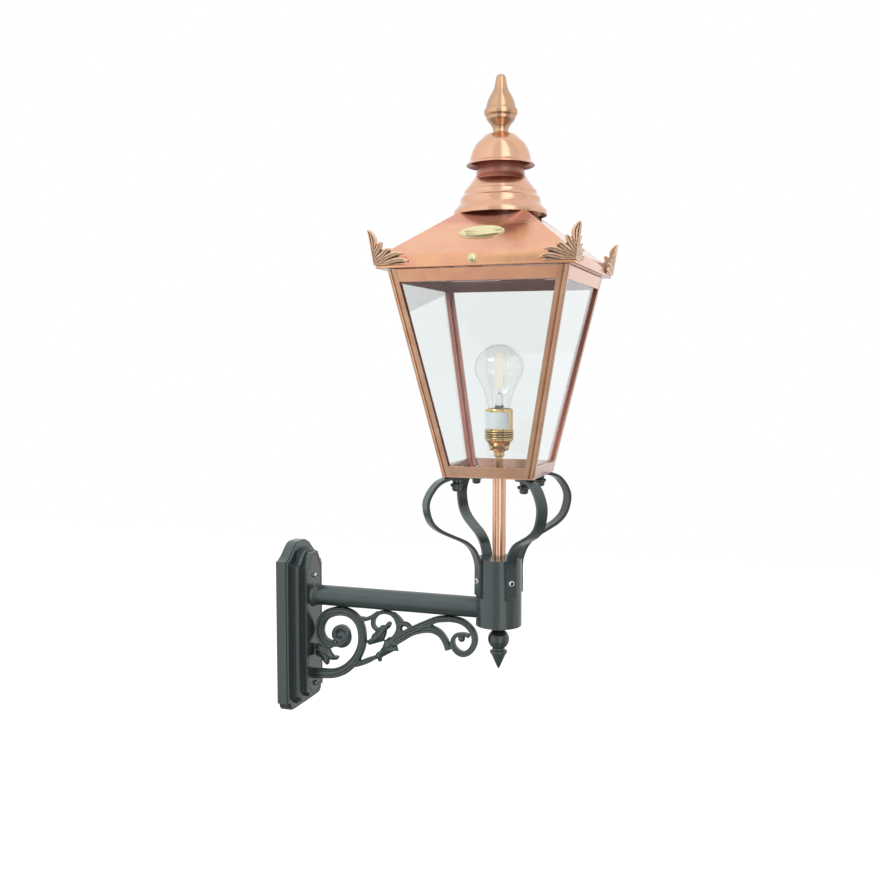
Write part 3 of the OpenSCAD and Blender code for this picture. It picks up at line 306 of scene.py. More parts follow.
# Bright zinc plate over rolled steel: pale, slightly cloudy grey, streaked along the strip
zinc, tree, shader = principled("Rolled steel, bright zinc plated", Base_Color=srgb(ZINC),
                                Metallic=1.0, Roughness=0.3)
place = add_node(tree, "ShaderNodeTexCoord")
along = add_node(tree, "ShaderNodeMapping",
                 {"Vector": place.outputs["Object"], "Scale": (1.0, 1.0, ZINC_STREAK)})
cloud = add_node(tree, "ShaderNodeTexNoise",
                 {"Vector": along.outputs[0], "Scale": 1 / (ZINC_CLOUD * MM), "Detail": 3.0})
spread = add_node(tree, "ShaderNodeMapRange",
                  {"Value": cloud.outputs["Fac"], "To Min": 0.22, "To Max": 0.4})
# Marked faces turn dark grey: painted shade in screw sockets, and the lower plate screw darker
shade_mask = add_node(tree, "ShaderNodeAttribute", attribute_name="shade_and_tarnish")
shade_mix = add_node(tree, "ShaderNodeMix", {0: shade_mask.outputs["Fac"], 6: srgb(ZINC), 7: srgb(ZINC_DARKENED)},
                data_type="RGBA")
tree.links.new(shade_mix.outputs[2], shader.inputs["Base Color"])
tree.links.new(spread.outputs[0], shader.inputs["Roughness"])


def marked(mesh, amount):
    """Sets each face's darkening, 0 to 1, by its middle in mm and normal; mostly painted shade."""
    values = [amount(face.center / MM, face.normal) for face in mesh.polygons]
    mesh.attributes.new("shade_and_tarnish", "FLOAT", "FACE").data.foreach_set("value", values)
    return mesh


dressed("mounting_bar_strip", "mounting_bar", FIXED, zinc, BAR_EDGE)

# Plate screws. Two bright domed screws, one above and one below the arm, turned in steel.
# One screw is modelled, and its copy stands at the second place.
TURNED = 96
SHANK_R = 2.4
HEAD_R = 3.4
DOME_H = 4.6
DOME_END = 62
DRIVE_R = 1.7
DRIVE_FLOOR = 2.6
LOWER_DARK = 0.7


def eased(line, radius, steps=4):
    """A line of points with each inner corner replaced by a short curve."""
    line = [Vector(p) for p in line]
    soft = [line[0]]
    for before, corner, after in zip(line, line[1:], line[2:]):
        back, on = before - corner, after - corner
        reach = min(radius, back.length / 2, on.length / 2)
        start, end = corner + back.normalized() * reach, corner + on.normalized() * reach
        for k in range(steps + 1):
            t = k / steps
            soft.append((1 - t) ** 2 * start + 2 * t * (1 - t) * corner + t * t * end)
    return soft + [line[-1]]


def arc(x, y, r, start, end, steps):
    """Points along a circular arc, its angles in degrees."""
    angles = [math.radians(start + (end - start) * k / steps) for k in range(steps + 1)]
    return [Vector((x + r * math.cos(a), y + r * math.sin(a))) for a in angles]


def revolved(name, line, closed=False, segments=TURNED, lobes=0, lobe_depth=0.0):
    """Turns a line of radius and height, in millimetres, about the upright axis at the origin."""
    verts, faces, rings = [], [], []
    for r, z in line:
        count = segments if r > 1e-4 else 1
        rings.append((len(verts), count))
        for k in range(count):
            a = 2 * math.pi * k / segments
            swell = r + lobe_depth * math.cos(lobes * a) if lobes else r
            verts.append((swell * MM * math.cos(a), swell * MM * math.sin(a), z * MM))
    pairs = list(zip(rings, rings[1:])) + ([(rings[-1], rings[0])] if closed else [])
    for (a, na), (b, nb) in pairs:
        for k in range(segments):
            k1 = (k + 1) % segments
            face = [a + k % na, a + k1 % na, b + k1 % nb, b + k % nb]
            face = [v for i, v in enumerate(face) if v not in face[:i]]
            if len(face) > 2:
                faces.append(face)
    mesh = bpy.data.meshes.new(name)
    mesh.from_pydata(verts, [], faces)
    shell = bmesh.new()
    shell.from_mesh(mesh)
    bmesh.ops.remove_doubles(shell, verts=shell.verts, dist=0.0005 * MM)
    bmesh.ops.recalc_face_normals(shell, faces=shell.faces)
    return made(shell, name)


def moved(mesh, x=0.0, y=0.0, z=0.0, turns=()):
    """Turns a mesh by pairs of axis and degrees, then moves it, in millimetres."""
    for axis, degrees in turns:
        c, s = math.cos(math.radians(degrees)), math.sin(math.radians(degrees))
        u, v = {"X": (1, 2), "Y": (2, 0), "Z": (0, 1)}[axis]
        for vertex in mesh.vertices:
            a, b = vertex.co[u], vertex.co[v]
            vertex.co[u], vertex.co[v] = a * c - b * s, a * s + b * c
    for vertex in mesh.vertices:
        vertex.co += Vector((x, y, z)) * MM
    return mesh


def geometry_tree(name, **inputs):
    """A Geometry Nodes tree with named inputs, _ standing for a space, and its input node."""
    tree = bpy.data.node_groups.new(name, "GeometryNodeTree")
    for label, kind in {"Geometry": "Geometry", "Material": "Material", **inputs}.items():
        tree.interface.new_socket(label.replace("_", " "), in_out="INPUT",
                                  socket_type="NodeSocket" + kind)
    tree.interface.new_socket("Geometry", in_out="OUTPUT", socket_type="NodeSocketGeometry")
    return tree, add_node(tree, "NodeGroupInput")


def grown(tree, given, last, mesh, **values):
    """Ends a tree after its last node, and gives what it makes of a mesh with these inputs."""
    real = add_node(tree, "GeometryNodeRealizeInstances", {0: last.outputs[0]})
    painted = add_node(tree, "GeometryNodeSetMaterial",
                       {"Geometry": real.outputs[0], "Material": given.outputs["Material"]})
    add_node(tree, "NodeGroupOutput", {0: painted.outputs[0]})
    holder = held(tree.name, mesh)
    nodes = holder.modifiers.new(tree.name, "NODES")
    nodes.node_group = tree
    for label, value in values.items():
        nodes[tree.interface.items_tree[label.replace("_", " ")].identifier] = value
    return plain_mesh(holder)


def repeated(name, mesh, material, count, step_turn=0.0, step_move=(0, 0, 0), centre=(0, 0, 0)):
    """Copies a mesh at even steps round an upright axis through centre, or along a line."""
    tree, given = geometry_tree(name + "_copies", Count="Int", Turn_Per_Copy="Float",
                                Move_Per_Copy="Vector", Centre="Vector")
    number = add_node(tree, "GeometryNodeInputIndex")
    shift = add_node(tree, "ShaderNodeVectorMath",
                     {0: given.outputs["Move Per Copy"], "Scale": number.outputs[0]},
                     operation="SCALE")
    spot = add_node(tree, "ShaderNodeVectorMath",
                    {0: shift.outputs[0], 1: given.outputs["Centre"]}, operation="ADD")
    spin = add_node(tree, "ShaderNodeMath",
                    {0: given.outputs["Turn Per Copy"], 1: number.outputs[0]},
                    operation="MULTIPLY")
    axis = add_node(tree, "ShaderNodeCombineXYZ", {"Z": spin.outputs[0]})
    points = add_node(tree, "GeometryNodePoints",
                      {"Count": given.outputs["Count"], "Position": spot.outputs[0]})
    copies = add_node(tree, "GeometryNodeInstanceOnPoints",
                      {"Points": points.outputs[0], "Instance": given.outputs["Geometry"],
                       "Rotation": axis.outputs[0]})
    return grown(tree, given, copies, mesh, Material=material, Count=count,
                 Turn_Per_Copy=math.radians(step_turn), Move_Per_Copy=[v * MM for v in step_move],
                 Centre=[v * MM for v in centre])


low, high = (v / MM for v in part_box("plate_screws"))
screw_pitch = high.z - low.z - 2 * HEAD_R
stem = high.x - low.x - DOME_H
screw_mid = (low.z + high.z) / 2
screw_line = [(0, 0), (SHANK_R, 0), (SHANK_R, stem), (HEAD_R, stem)]
screw_line += eased([(HEAD_R, stem + 0.01), *arc(0, stem + DOME_H - HEAD_R, HEAD_R, 0, DOME_END, 8),
                     (DRIVE_R, stem + DOME_H - 0.45), (DRIVE_R, stem + DRIVE_FLOOR),
                     (0, stem + DRIVE_FLOOR)], 0.15)
plate_screw = moved(smoothed(revolved("plate_screw", screw_line, segments=48)),
                    low.x, 0, low.z + HEAD_R, turns=[("Y", 90)])
screws = repeated("plate_screws", plate_screw, zinc, 2, step_move=(0, 0, screw_pitch))


def screw_shade(p, normal):
    """Painted shade in the drive of each screw, and the lower screw darker all over."""
    if math.hypot(p.y, abs(p.z - screw_mid) - screw_pitch / 2) < DRIVE_R - 0.05:
        return 1.0
    return LOWER_DARK if p.z < screw_mid else 0.0


put("plate_screw_pair", marked(screws, screw_shade), FIXED, zinc, "plate_screws")

# Terminal block. A three-way connector moulded in white nylon and fixed to the bar, where the
# house wiring ends and the light's own cable begins.
BLOCK_EDGE = 0.5
PLASTIC = "#EDEDE8"

# Moulded nylon: off-white, slightly waxy
nylon = principled("Nylon 66, moulded", Base_Color=srgb(PLASTIC), Roughness=0.42, IOR=1.53)[0]
dressed("terminal_block_moulding", "terminal_block", FIXED, nylon, BLOCK_EDGE)

# Supply cable. Round black flex from the terminal block through the arm, hub and riser to the
# lampholder. It is out of sight except behind the plate.
FLEX = "#1E1F20"

# Extruded PVC: black, half matt
flex_sheath = principled("PVC flex sheath, extruded", Base_Color=srgb(FLEX), Roughness=0.5,
                         IOR=1.53)[0]
dressed("supply_cable_sheath", "supply_cable", FIXED, flex_sheath, edge=0.05,
    segments=1, sharp=60)

# Arm. A round tube let into the plate and the hub, coated with them in one go. A cast ring
# flares out round its root: each point is its radius and its distance from the plate.
FLARE = [(13.2, 0), (17, 0), (15.4, 1.4), (14.2, 4), (13.5, 9), (13.2, 9)]
plate_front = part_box("wall_plate")[1].x / MM
arm_height = (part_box("arm_tube")[0].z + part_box("arm_tube")[1].z) / 2
flare = moved(revolved("flare", FLARE, closed=True), plate_front, 0, arm_height / MM,
              turns=[("Y", 90)])


def joined(name, meshes):
    """One mesh from several."""
    shell = bmesh.new()
    for part in meshes:
        shell.from_mesh(part)
    return made(shell, name)


arm = joined("arm", [rounded("arm_tube", edge=0.2, segments=1), flare])
put("arm_tube_coated", smoothed(arm), FIXED, powder_coat, "arm_tube")

# Scroll bracket. One sand casting under the arm: a large volute at the wall, a leafy knot, a
# ring with an eyelet and a long curl that ends by the hub. Every bar has a raised middle rib.
# It is fixed to the plate and coated with it.

# Each point is distance from the plate, height from the arm's middle, and half width. A ball
# has its radius and half depth, and each point of the coil its angle and its distance out.
BANDS = [
    [(-2, -107.5, 7.3), (9, -106.5, 7.3), (28, -104.5, 6.8), (44, -97.5, 6.5), (58.5, -83.5, 6.2),
     (67, -67.3, 6.1), (69.2, -53, 6), (67, -38, 6), (60, -27, 6.2), (48.4, -20.6, 6.4),
     (33.5, -20.3, 6.5), (18.5, -26, 6.7), (9.8, -37.5, 6.8), (8, -51, 7), (14, -62, 6.8),
     (27, -66, 5.5)],
    [(55, -91.5, 3), (66, -87.8, 3.6), (77, -82.5, 4), (86, -78.2, 3), (94, -74.2, 2.8)],
    [(112, -57.5, 5), (124.5, -45.4, 4.7), (134, -39.3, 4.7), (145, -33.1, 4.6), (158, -26.8, 4.6),
     (172, -20.6, 4.6), (184, -18.4, 4.6), (195, -18, 4.3), (207.5, -20.4, 4.2),
     (217.3, -27.4, 4.2), (223, -37, 4.2), (223, -47.5, 4.2), (217.4, -57.4, 4.2), (209, -62, 4.2),
     (200.5, -59.6, 3.9), (195, -52.7, 3.4), (194.5, -45, 3), (198.5, -38.7, 2.8),
     (205, -36.6, 2.6), (211, -36.6, 2.6), (217, -38.5, 2.6)],
    [(108, -59, 5.3), (115, -54.6, 5.3), (124.5, -48.4, 5.3), (137, -40.5, 5.2), (150, -35.7, 5.2),
     (164, -33.4, 5.4), (175, -36.6, 4.8), (182, -43.4, 4.3), (186, -51, 4.3), (188.6, -58.5, 4.4)],
    [(108, -54.4, 3.8), (115.7, -46.9, 3.4), (120, -36.7, 2.8), (118.5, -26.5, 2.8),
     (114, -19.8, 2.6), (107, -16.5, 2.6), (99, -16.4, 2.6), (91, -19.5, 3), (85.5, -26.6, 2.8),
     (84.8, -35, 2.5), (90, -40.8, 2.2)],
    [(112, -16.8, 2.5), (119, -22.2, 2.8), (126, -30.1, 3.1)],
    [(91, -18, 2.8), (83, -23.8, 2.8), (75, -27.5, 2.9), (66, -27.5, 3.2)],
    [(14, -62, 2.6), (26, -66, 2.8), (38, -63.7, 2.8), (47, -56.7, 2.8), (49, -47.3, 2.6),
     (43, -41, 2.5), (35, -41, 2.4), (29.4, -47.5, 2.2), (32.5, -53.4, 2)]]
SPROUTS = [
    [(1, -66), (11, -67), (22, -71), (26, -78), (30, -81.5), (34, -80), (36, -82), (33, -86),
     (26, -87), (21.5, -86), (20.5, -93), (17.5, -94.5), (13, -91), (9.5, -85), (1, -82)],
    [(91, -72), (98, -62), (100.5, -54), (107, -48.5), (115, -49), (119.5, -53.4), (113, -60.4),
     (117.5, -58.4), (119.8, -66.6), (115, -66.2), (108.5, -70), (99, -75.5), (92, -77)],
    [(74, -57), (79, -62), (86, -59.5), (99, -55), (103, -46), (104, -39.6), (108.5, -36),
     (111, -30.6), (108.5, -27.8), (104.5, -29), (103.5, -32.7), (96, -34), (91, -39), (86, -45),
     (83, -47.5), (81, -53.5), (77, -55.5)]]
VEINS = [
    [(2, -73, 1.6), (14, -76, 1.6), (26, -83, 1.0)], [(10, -76, 1.3), (16, -84, 1.3), (18, -92, 1)],
    [(94, -73, 1.8), (103, -64, 1.7), (113, -54, 1.0)], [(104, -66, 1.4), (112, -64, 1.2),
                                                         (118, -64, 0.9)],
    [(80, -58.5, 1.4), (92, -50, 1.4), (101, -40, 1.3), (107, -33, 1.2)],
    [(92, -50, 1.2), (93, -43, 1.1), (96, -37, 0.9)]]
BALLS = [(93, -74.4, 5, 6.4), (93.8, -80.2, 2.8, 3.6), (206, -42.2, 4.6, 5),
         (37.4, -52, 4, 6.4), (113, -57, 5, 5.6)]
COIL_AT = (38, -52.6)
COIL = [(250, 12), (270, 12), (360, 11), (450, 10.4), (540, 9.2), (590, 8), (630, 6.6), (720, 4.8),
        (810, 3.2), (900, 1.8)]
COIL_STEP = 15
COIL_WIDE = 5.2
COIL_TAPER = 3
COIL_THICK = 7.2
COIL_SWELL = -0.8
EYELET = (129, -37, 7.4, 3.4)
EYE_THICK = 4.32
BAR_SIDES = 20
BAR_STEPS = 5
BAR_THICK = 3.4
BAR_SWELL = 0.12
RIB_WIDE = 0.2
RIB_THICK = 4.8
EDGE_AT = 0.68
EDGE_WIDE = 0.26
EDGE_THICK = 5.0
LEAF_THICK = 5.0
VEIN_THICK = 6.2
SPROUT_LEVELS = ((0, 0.32), (0.25, 0.72), (0.6, 1.0))
CASTING_VOXEL = 0.7


def curve(line, steps):
    """A smooth curve through all the points, with the same number of steps between neighbours."""
    p = [Vector(q) for q in line]
    p = [2 * p[0] - p[1], *p, 2 * p[-1] - p[-2]]
    points = []
    for a, b, c, d in zip(p, p[1:], p[2:], p[3:]):
        for k in range(steps):
            t = k / steps
            points.append(b + (c - a) * t / 2 + (2 * a - 5 * b + 4 * c - d) * t * t / 2
                          + (3 * b - a - 3 * c + d) * t ** 3 / 2)
    return points + [p[-2]]


def bars(name, lines, thick, part=1.0, swell=0.0, steps=BAR_STEPS, closed=False, aside=0.0):
    """Sweeps an oval along each line. Part and aside are its width and shift in half widths."""
    verts, edges, widths = [], [], []
    for line in lines:
        first = len(verts)
        points = [Vector(p) for p in line] if closed else curve(line, steps)
        for k, (x, z, w) in enumerate(points):
            way = points[min(k + 1, len(points) - 1)] - points[max(k - 1, 0)]
            shift = Vector((-way.y, way.x)).normalized() * w * aside
            verts.append(((plate_front + x + shift.x) * MM, 0, arm_height + (z + shift.y) * MM))
            widths.append(w * part * MM)
        edges += [(k, k + 1) for k in range(first, len(verts) - 1)]
        edges += [(len(verts) - 1, first)] if closed else []
    spine = bpy.data.meshes.new(name)
    spine.from_pydata(verts, edges, [])
    spine.attributes.new("half_width", "FLOAT", "POINT").data.foreach_set("value", widths)
    tree, given = geometry_tree(name + "_sweep", Half_Depth="Float", Depth_Per_Width="Float",
                                Sides="Int")
    line = add_node(tree, "GeometryNodeMeshToCurve", {"Mesh": given.outputs["Geometry"]})
    width = add_node(tree, "GeometryNodeInputNamedAttribute", {"Name": "half_width"})
    ring = add_node(tree, "GeometryNodeCurvePrimitiveCircle",
                    {"Resolution": given.outputs["Sides"], "Radius": 1.0})
    tube = add_node(tree, "GeometryNodeCurveToMesh",
                    {"Curve": line.outputs[0], "Profile Curve": ring.outputs[0],
                     "Scale": width.outputs[0], "Fill Caps": True})
    where = add_node(tree, "GeometryNodeInputPosition")
    parts = add_node(tree, "ShaderNodeSeparateXYZ", {0: where.outputs[0]})
    across = add_node(tree, "ShaderNodeMath", {0: parts.outputs["Y"], 1: width.outputs[0]},
                      operation="DIVIDE")
    depth = add_node(tree, "ShaderNodeMath",
                     {0: width.outputs[0], 1: given.outputs["Depth Per Width"],
                      2: given.outputs["Half Depth"]}, operation="MULTIPLY_ADD")
    deep = add_node(tree, "ShaderNodeMath", {0: across.outputs[0], 1: depth.outputs[0]},
                    operation="MULTIPLY")
    spot = add_node(tree, "ShaderNodeCombineXYZ",
                    {"X": parts.outputs["X"], "Y": deep.outputs[0], "Z": parts.outputs["Z"]})
    shaped = add_node(tree, "GeometryNodeSetPosition",
                      {"Geometry": tube.outputs[0], "Position": spot.outputs[0]})
    return grown(tree, given, shaped, spine, Material=powder_coat, Half_Depth=thick * MM,
                 Depth_Per_Width=swell, Sides=BAR_SIDES)


def sprout(outline, thick):
    """A leaf of the casting: its outline as a slab, thinner at the edge than in the middle."""
    shell = bmesh.new()
    rim = [Vector(p) for p in outline]
    middle = sum(rim, Vector((0, 0))) / len(rim)
    rings = []
    for inset, share in SPROUT_LEVELS:
        for side in (-1, 1):
            points = [p + (middle - p) * inset for p in rim]
            rings.append([shell.verts.new(((plate_front + p.x) * MM, side * share * thick * MM,
                                           arm_height + p.y * MM)) for p in points])
    for a, b in ((0, 1), (2, 0), (1, 3), (4, 2), (3, 5)):
        for k in range(len(rim)):
            k1 = (k + 1) % len(rim)
            shell.faces.new((rings[a][k], rings[a][k1], rings[b][k1], rings[b][k]))
    shell.faces.new(rings[4])
    shell.faces.new(rings[5][::-1])
    bmesh.ops.triangulate(shell, faces=shell.faces)
    bmesh.ops.recalc_face_normals(shell, faces=shell.faces)
    return made(shell, "sprout")


def ball(x, z, r, half_depth):
    """A flattened ball of the casting."""
    shell = bmesh.new()
    bmesh.ops.create_uvsphere(shell, u_segments=40, v_segments=24, radius=1)
    for v in shell.verts:
        v.co = Vector(((plate_front + x + v.co.x * r) * MM, v.co.z * half_depth * MM,
                       arm_height + (z + v.co.y * r) * MM))
    bmesh.ops.recalc_face_normals(shell, faces=shell.faces)
    return made(shell, "ball")


def fused(name, parts, voxel, passes):
    """Parts of a casting run together into one skin, with its corners softened in passes."""
    holder = held(name, joined(name, parts))
    fuse = holder.modifiers.new("fuse", "REMESH")
    fuse.mode = "VOXEL"
    fuse.voxel_size = voxel * MM
    fuse.use_smooth_shade = True
    soften = holder.modifiers.new("soften", "SMOOTH")
    soften.factor = 0.5
    soften.iterations = passes
    return plain_mesh(holder)


eye_x, eye_z, eye_r, eye_half = EYELET
eye_line = [(*p, eye_half) for p in arc(eye_x, eye_z, eye_r, 0, 350, 35)]
coil_angles, coil_radii = zip(*COIL)
coil_from, coil_to = coil_angles[0], coil_angles[-1]
coil_line = []
for angle in range(coil_from, coil_to + 1, COIL_STEP):
    r, a = np.interp(angle, coil_angles, coil_radii), math.radians(angle)
    coil_line.append((COIL_AT[0] + r * math.cos(a), COIL_AT[1] + r * math.sin(a),
                      COIL_WIDE - COIL_TAPER * (angle - coil_from) / (coil_to - coil_from)))
scroll_parts = [bars("scroll_bars", BANDS, BAR_THICK, swell=BAR_SWELL),
                bars("scroll_left_edges", BANDS, EDGE_THICK, EDGE_WIDE, aside=EDGE_AT),
                bars("scroll_right_edges", BANDS, EDGE_THICK, EDGE_WIDE, aside=-EDGE_AT),
                bars("scroll_ribs", BANDS, RIB_THICK, RIB_WIDE),
                bars("scroll_coil", [coil_line], COIL_THICK, swell=COIL_SWELL, steps=2),
                bars("scroll_veins", VEINS, VEIN_THICK),
                bars("scroll_eyelet", [eye_line], EYE_THICK, steps=1, closed=True),
                *[sprout(outline, LEAF_THICK) for outline in SPROUTS],
                *[ball(*size) for size in BALLS]]
put("scroll_casting", fused("scroll_parts", scroll_parts, CASTING_VOXEL, 3), FIXED,
    powder_coat, "scroll_bracket")

# Hub. A round casting on the arm's end, with a flat at each diagonal for a strap and a bore for
# the riser, coated with the arm.
HUB_EDGE = 0.8
dressed("hub_casting", "hub", FIXED, powder_coat, HUB_EDGE, segments=3)

# Pendant. A ball and cone turned in one piece, which closes the hub from below and is coated
# with it.
PENDANT_R = 13.5
PENDANT_MID = -18.3
lamp_x = (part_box("finial")[0].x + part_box("finial")[1].x) / 2 / MM
hub_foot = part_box("hub")[0].z / MM
pendant_line = (
    eased([(0, -0.05), (10.5, -0.05), (11.2, -1.5), (11.2, -5)], 0.4)
    + [(11, -5.4), (8.6, -6.2)]
    + arc(0, PENDANT_MID, PENDANT_R, 62, -56, 18)
    + eased([(7.6, -30.2), (8, -31.2), (10.9, -33.2), (11.1, -34.4), (10.9, -35.6),
             (9.4, -37.6)], 0.7)
    + eased([(9.2, -37.8), (6.4, -44), (3, -51.5), (1.3, -55.2), (0, -56.3)], 1.2))
pendant = moved(smoothed(revolved("pendant", pendant_line), 40), lamp_x, 0, hub_foot)
put("pendant_turning", pendant, FIXED, powder_coat, "hub_pendant")

# Straps. Four flat bars, bent to shape and coated, that are screwed to the hub's flats, sweep
# out and come back in under the lantern to carry it.
STRAP_EDGE = 0.7
for k in range(1, 5):
    dressed(f"strap_{k}_bar", f"strap_{k}", FIXED, powder_coat, STRAP_EDGE,
        segments=3, sharp=35)

# Strap screws. Bright zinc-plated steel screws with button heads, one through each strap's foot
# into the hub. Their six-sided sockets are under 4 mm wide and are drawn round.
BUTTON_R = 4.0
BUTTON_H = 2.0
BUTTON_SHANK = 8
SOCKET_R = 1.85
HUB_FLAT = 1.5
STRAP_T = 4
hub_r = (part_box("hub")[1].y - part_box("hub")[0].y) / 2 / MM
low, high = (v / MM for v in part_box("strap_screws"))
button_seat = hub_r - HUB_FLAT + STRAP_T
screw_height = (low.z + high.z) / 2
button_line = ([(0, -BUTTON_SHANK), (2, -BUTTON_SHANK), (2, -0.01), (BUTTON_R, 0)]
               + eased([(BUTTON_R, 0.02), (BUTTON_R, 0.6), (BUTTON_R - 0.6, 1.5),
                        (2.3, BUTTON_H), (1.9, BUTTON_H - 0.2), (1.8, 0.1), (0, 0.1)], 0.3))
# The socket of each screw is marked dark: painted shade
button = marked(smoothed(revolved("button_screw", button_line, segments=36)),
                lambda p, n: 1.0 if p.z > 0 and math.hypot(p.x, p.y) < SOCKET_R else 0.0)
button = moved(moved(button, button_seat, turns=[("Y", 90)]), turns=[("Z", -45)])
buttons = repeated("strap_screws", button, zinc, 4, step_turn=90, centre=(lamp_x, 0, screw_height))
put("strap_screw_set", buttons, FIXED, zinc, "strap_screws")

# Thumb nuts. Cast and coated nuts with six lobes under the straps' upper ends. Tightened by
# hand on the base studs, they hold the lantern down.
NUT_R = 7.0
NUT_LOBES = 6
NUT_LOBE = 1.05
NUT_OUT = 59.8
low, high = (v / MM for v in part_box("thumb_nuts"))
foot_line = [(0, 0), *eased([(3.4, 0.1), (5, 1.2), (5.5, 3), (5.5, 6.4)], 0.8), (0, 6.4)]
wing_line = [(0, 5.8), *eased([(5.4, 5.8), (NUT_R, 6.6), (NUT_R, 8.8), (5.6, 9.8)], 0.8), (0, 9.8)]
neck_line = [(0, 9.4), *eased([(4.8, 9.4), (4.2, 10.5), (5.2, 11.6), (5.2, 14.2),
                               (4.9, 14.5)], 0.4), (0, 14.5)]
nut = joined("thumb_nut", [revolved("nut_foot", foot_line, segments=48),
                           revolved("nut_wings", wing_line, segments=72, lobes=NUT_LOBES,
                                    lobe_depth=NUT_LOBE),
                           revolved("nut_neck", neck_line, segments=48)])
nut = moved(moved(smoothed(nut, 50), NUT_OUT), turns=[("Z", -45)])
nuts = repeated("thumb_nuts", nut, powder_coat, 4, step_turn=90, centre=(lamp_x, 0, low.z))
put("thumb_nut_set", nuts, FIXED, powder_coat, "thumb_nuts")

# Base studs. Zinc-plated steel studs with hexagon heads inside the tray. Each goes down through
# tray and strap into a thumb nut.
dressed("base_stud_set", "base_studs", FIXED, zinc, edge=0.25)

# Riser tube. Drawn copper tube, polished and lacquered, that stands in the hub's bore and takes
# the cable up to the lantern.
COPPER = "#F4BFA0"
COPPER_SPUN = "#F6C8A6"
COPPER_GLANCE_SHADE = "#CE8B66"
SHADE_AND_TARNISH_RED = "#A85C50"
POLISH_LINE = 0.9
BLOOM = 34.0
DENT = 38.0


def copper_finish(name, grain, roughness, tint_a, tint_b, edge, dent_depth):
    """Lacquered copper. Grain is its lines' scale on each axis, edge a painted tint at a glance."""
    material, tree, shader = principled(name, Metallic=1.0, Roughness=roughness, Coat_Weight=0.7,
                                        Coat_Roughness=0.08)
    place = add_node(tree, "ShaderNodeTexCoord")
    bloom = add_node(tree, "ShaderNodeTexNoise",
                     {"Vector": place.outputs["Object"], "Scale": 1 / (BLOOM * MM), "Detail": 2.0,
                      "Distortion": 0.6})
    spread = add_node(tree, "ShaderNodeMapRange",
                      {"Value": bloom.outputs["Fac"], "From Min": 0.35, "From Max": 0.65})
    tint = add_node(tree, "ShaderNodeMix",
                    {0: spread.outputs[0], 6: srgb(tint_a), 7: srgb(tint_b)}, data_type="RGBA")
    darkening = add_node(tree, "ShaderNodeAttribute", attribute_name="shade_and_tarnish")
    # At a glance the colour turns to the edge tint: painted reflection, darker at the rims
    glancing = add_node(tree, "ShaderNodeLayerWeight", {"Blend": 0.4})
    turned = add_node(tree, "ShaderNodeMix",
                      {0: glancing.outputs["Facing"], 6: tint.outputs[2], 7: srgb(edge)},
                      data_type="RGBA")
    # Marked faces go red and matt: painted shade and reflection, and a little tarnish
    shade_tint = add_node(tree, "ShaderNodeMix",
                    {0: darkening.outputs["Fac"], 6: turned.outputs[2], 7: srgb(SHADE_AND_TARNISH_RED)},
                    data_type="RGBA")
    lines = add_node(tree, "ShaderNodeMapping", {"Vector": place.outputs["Object"], "Scale": grain})
    polish = add_node(tree, "ShaderNodeTexNoise",
                      {"Vector": lines.outputs[0], "Scale": 1.0, "Detail": 3.0})
    rough = add_node(tree, "ShaderNodeMapRange",
                     {"Value": polish.outputs["Fac"], "To Min": roughness - 0.06,
                      "To Max": roughness + 0.08})
    dents = add_node(tree, "ShaderNodeTexNoise",
                     {"Vector": place.outputs["Object"], "Scale": 1 / (DENT * MM), "Detail": 1.0})
    wavy = add_node(tree, "ShaderNodeBump", {"Strength": 1.0, "Distance": dent_depth * MM,
                                             "Height": dents.outputs["Fac"]})
    fine = add_node(tree, "ShaderNodeBump", {"Strength": 0.25, "Distance": 0.02 * MM,
                                             "Height": polish.outputs["Fac"],
                                             "Normal": wavy.outputs[0]})
    shade_mix = add_node(tree, "ShaderNodeMath", {0: darkening.outputs["Fac"], 1: 0.2, 2: rough.outputs[0]},
                    operation="MULTIPLY_ADD")
    bare = add_node(tree, "ShaderNodeMath", {0: darkening.outputs["Fac"], 1: -0.6, 2: 1.0},
                    operation="MULTIPLY_ADD")
    tree.links.new(shade_tint.outputs[2], shader.inputs["Base Color"])
    tree.links.new(shade_mix.outputs[0], shader.inputs["Roughness"])
    tree.links.new(bare.outputs[0], shader.inputs["Metallic"])
    tree.links.new(fine.outputs[0], shader.inputs["Normal"])
    return material


# Spun copper, mopped and lacquered: a soft mirror with fine rings, red and matt in painted shade
fine_line = 1 / (POLISH_LINE * MM)
spun_grain = (fine_line * 0.02, fine_line * 0.02, fine_line)
spun_copper = copper_finish("Spun copper, polished and lacquered", spun_grain, 0.18, COPPER,
                            COPPER_SPUN, COPPER_GLANCE_SHADE, 0.05)
dressed("riser_tube_drawn", "riser_tube", FIXED, spun_copper, edge=0.15,
    segments=1)

# Base tray. The lantern's floor, of copper sheet folded up along each side and drilled for the
# studs and the riser.
BROWN_COPPER = "#D6A683"
BROWN_PALE = "#E6BE9A"
BROWN_GLANCE_SHADE = "#B98662"
SHEET_EDGE = 0.5
TRAY_INSIDE = 0.6
TRAY_OUTSIDE = 0.25
INWARD = -0.2

# Copper drawn through a die and browned a little under its lacquer, with lines along the bar
drawn_copper = copper_finish("Drawn copper, browned a little under its lacquer",
                             (fine_line, fine_line, fine_line * 0.05), 0.2, BROWN_COPPER,
                             BROWN_PALE, BROWN_GLANCE_SHADE, 0.1)


def shade_marked(mesh, inside, outside):
    """Marks painted shade and tarnish on inward and outward copper; either may follow the height.
    """
    def darkening(middle, normal):
        away = Vector((middle.x - lamp_x, middle.y, 0)).normalized() + Vector((0, 0, 0.5))
        amount = inside if away.dot(normal) < INWARD else outside
        return amount(middle.z) if callable(amount) else amount
    return marked(mesh, darkening)


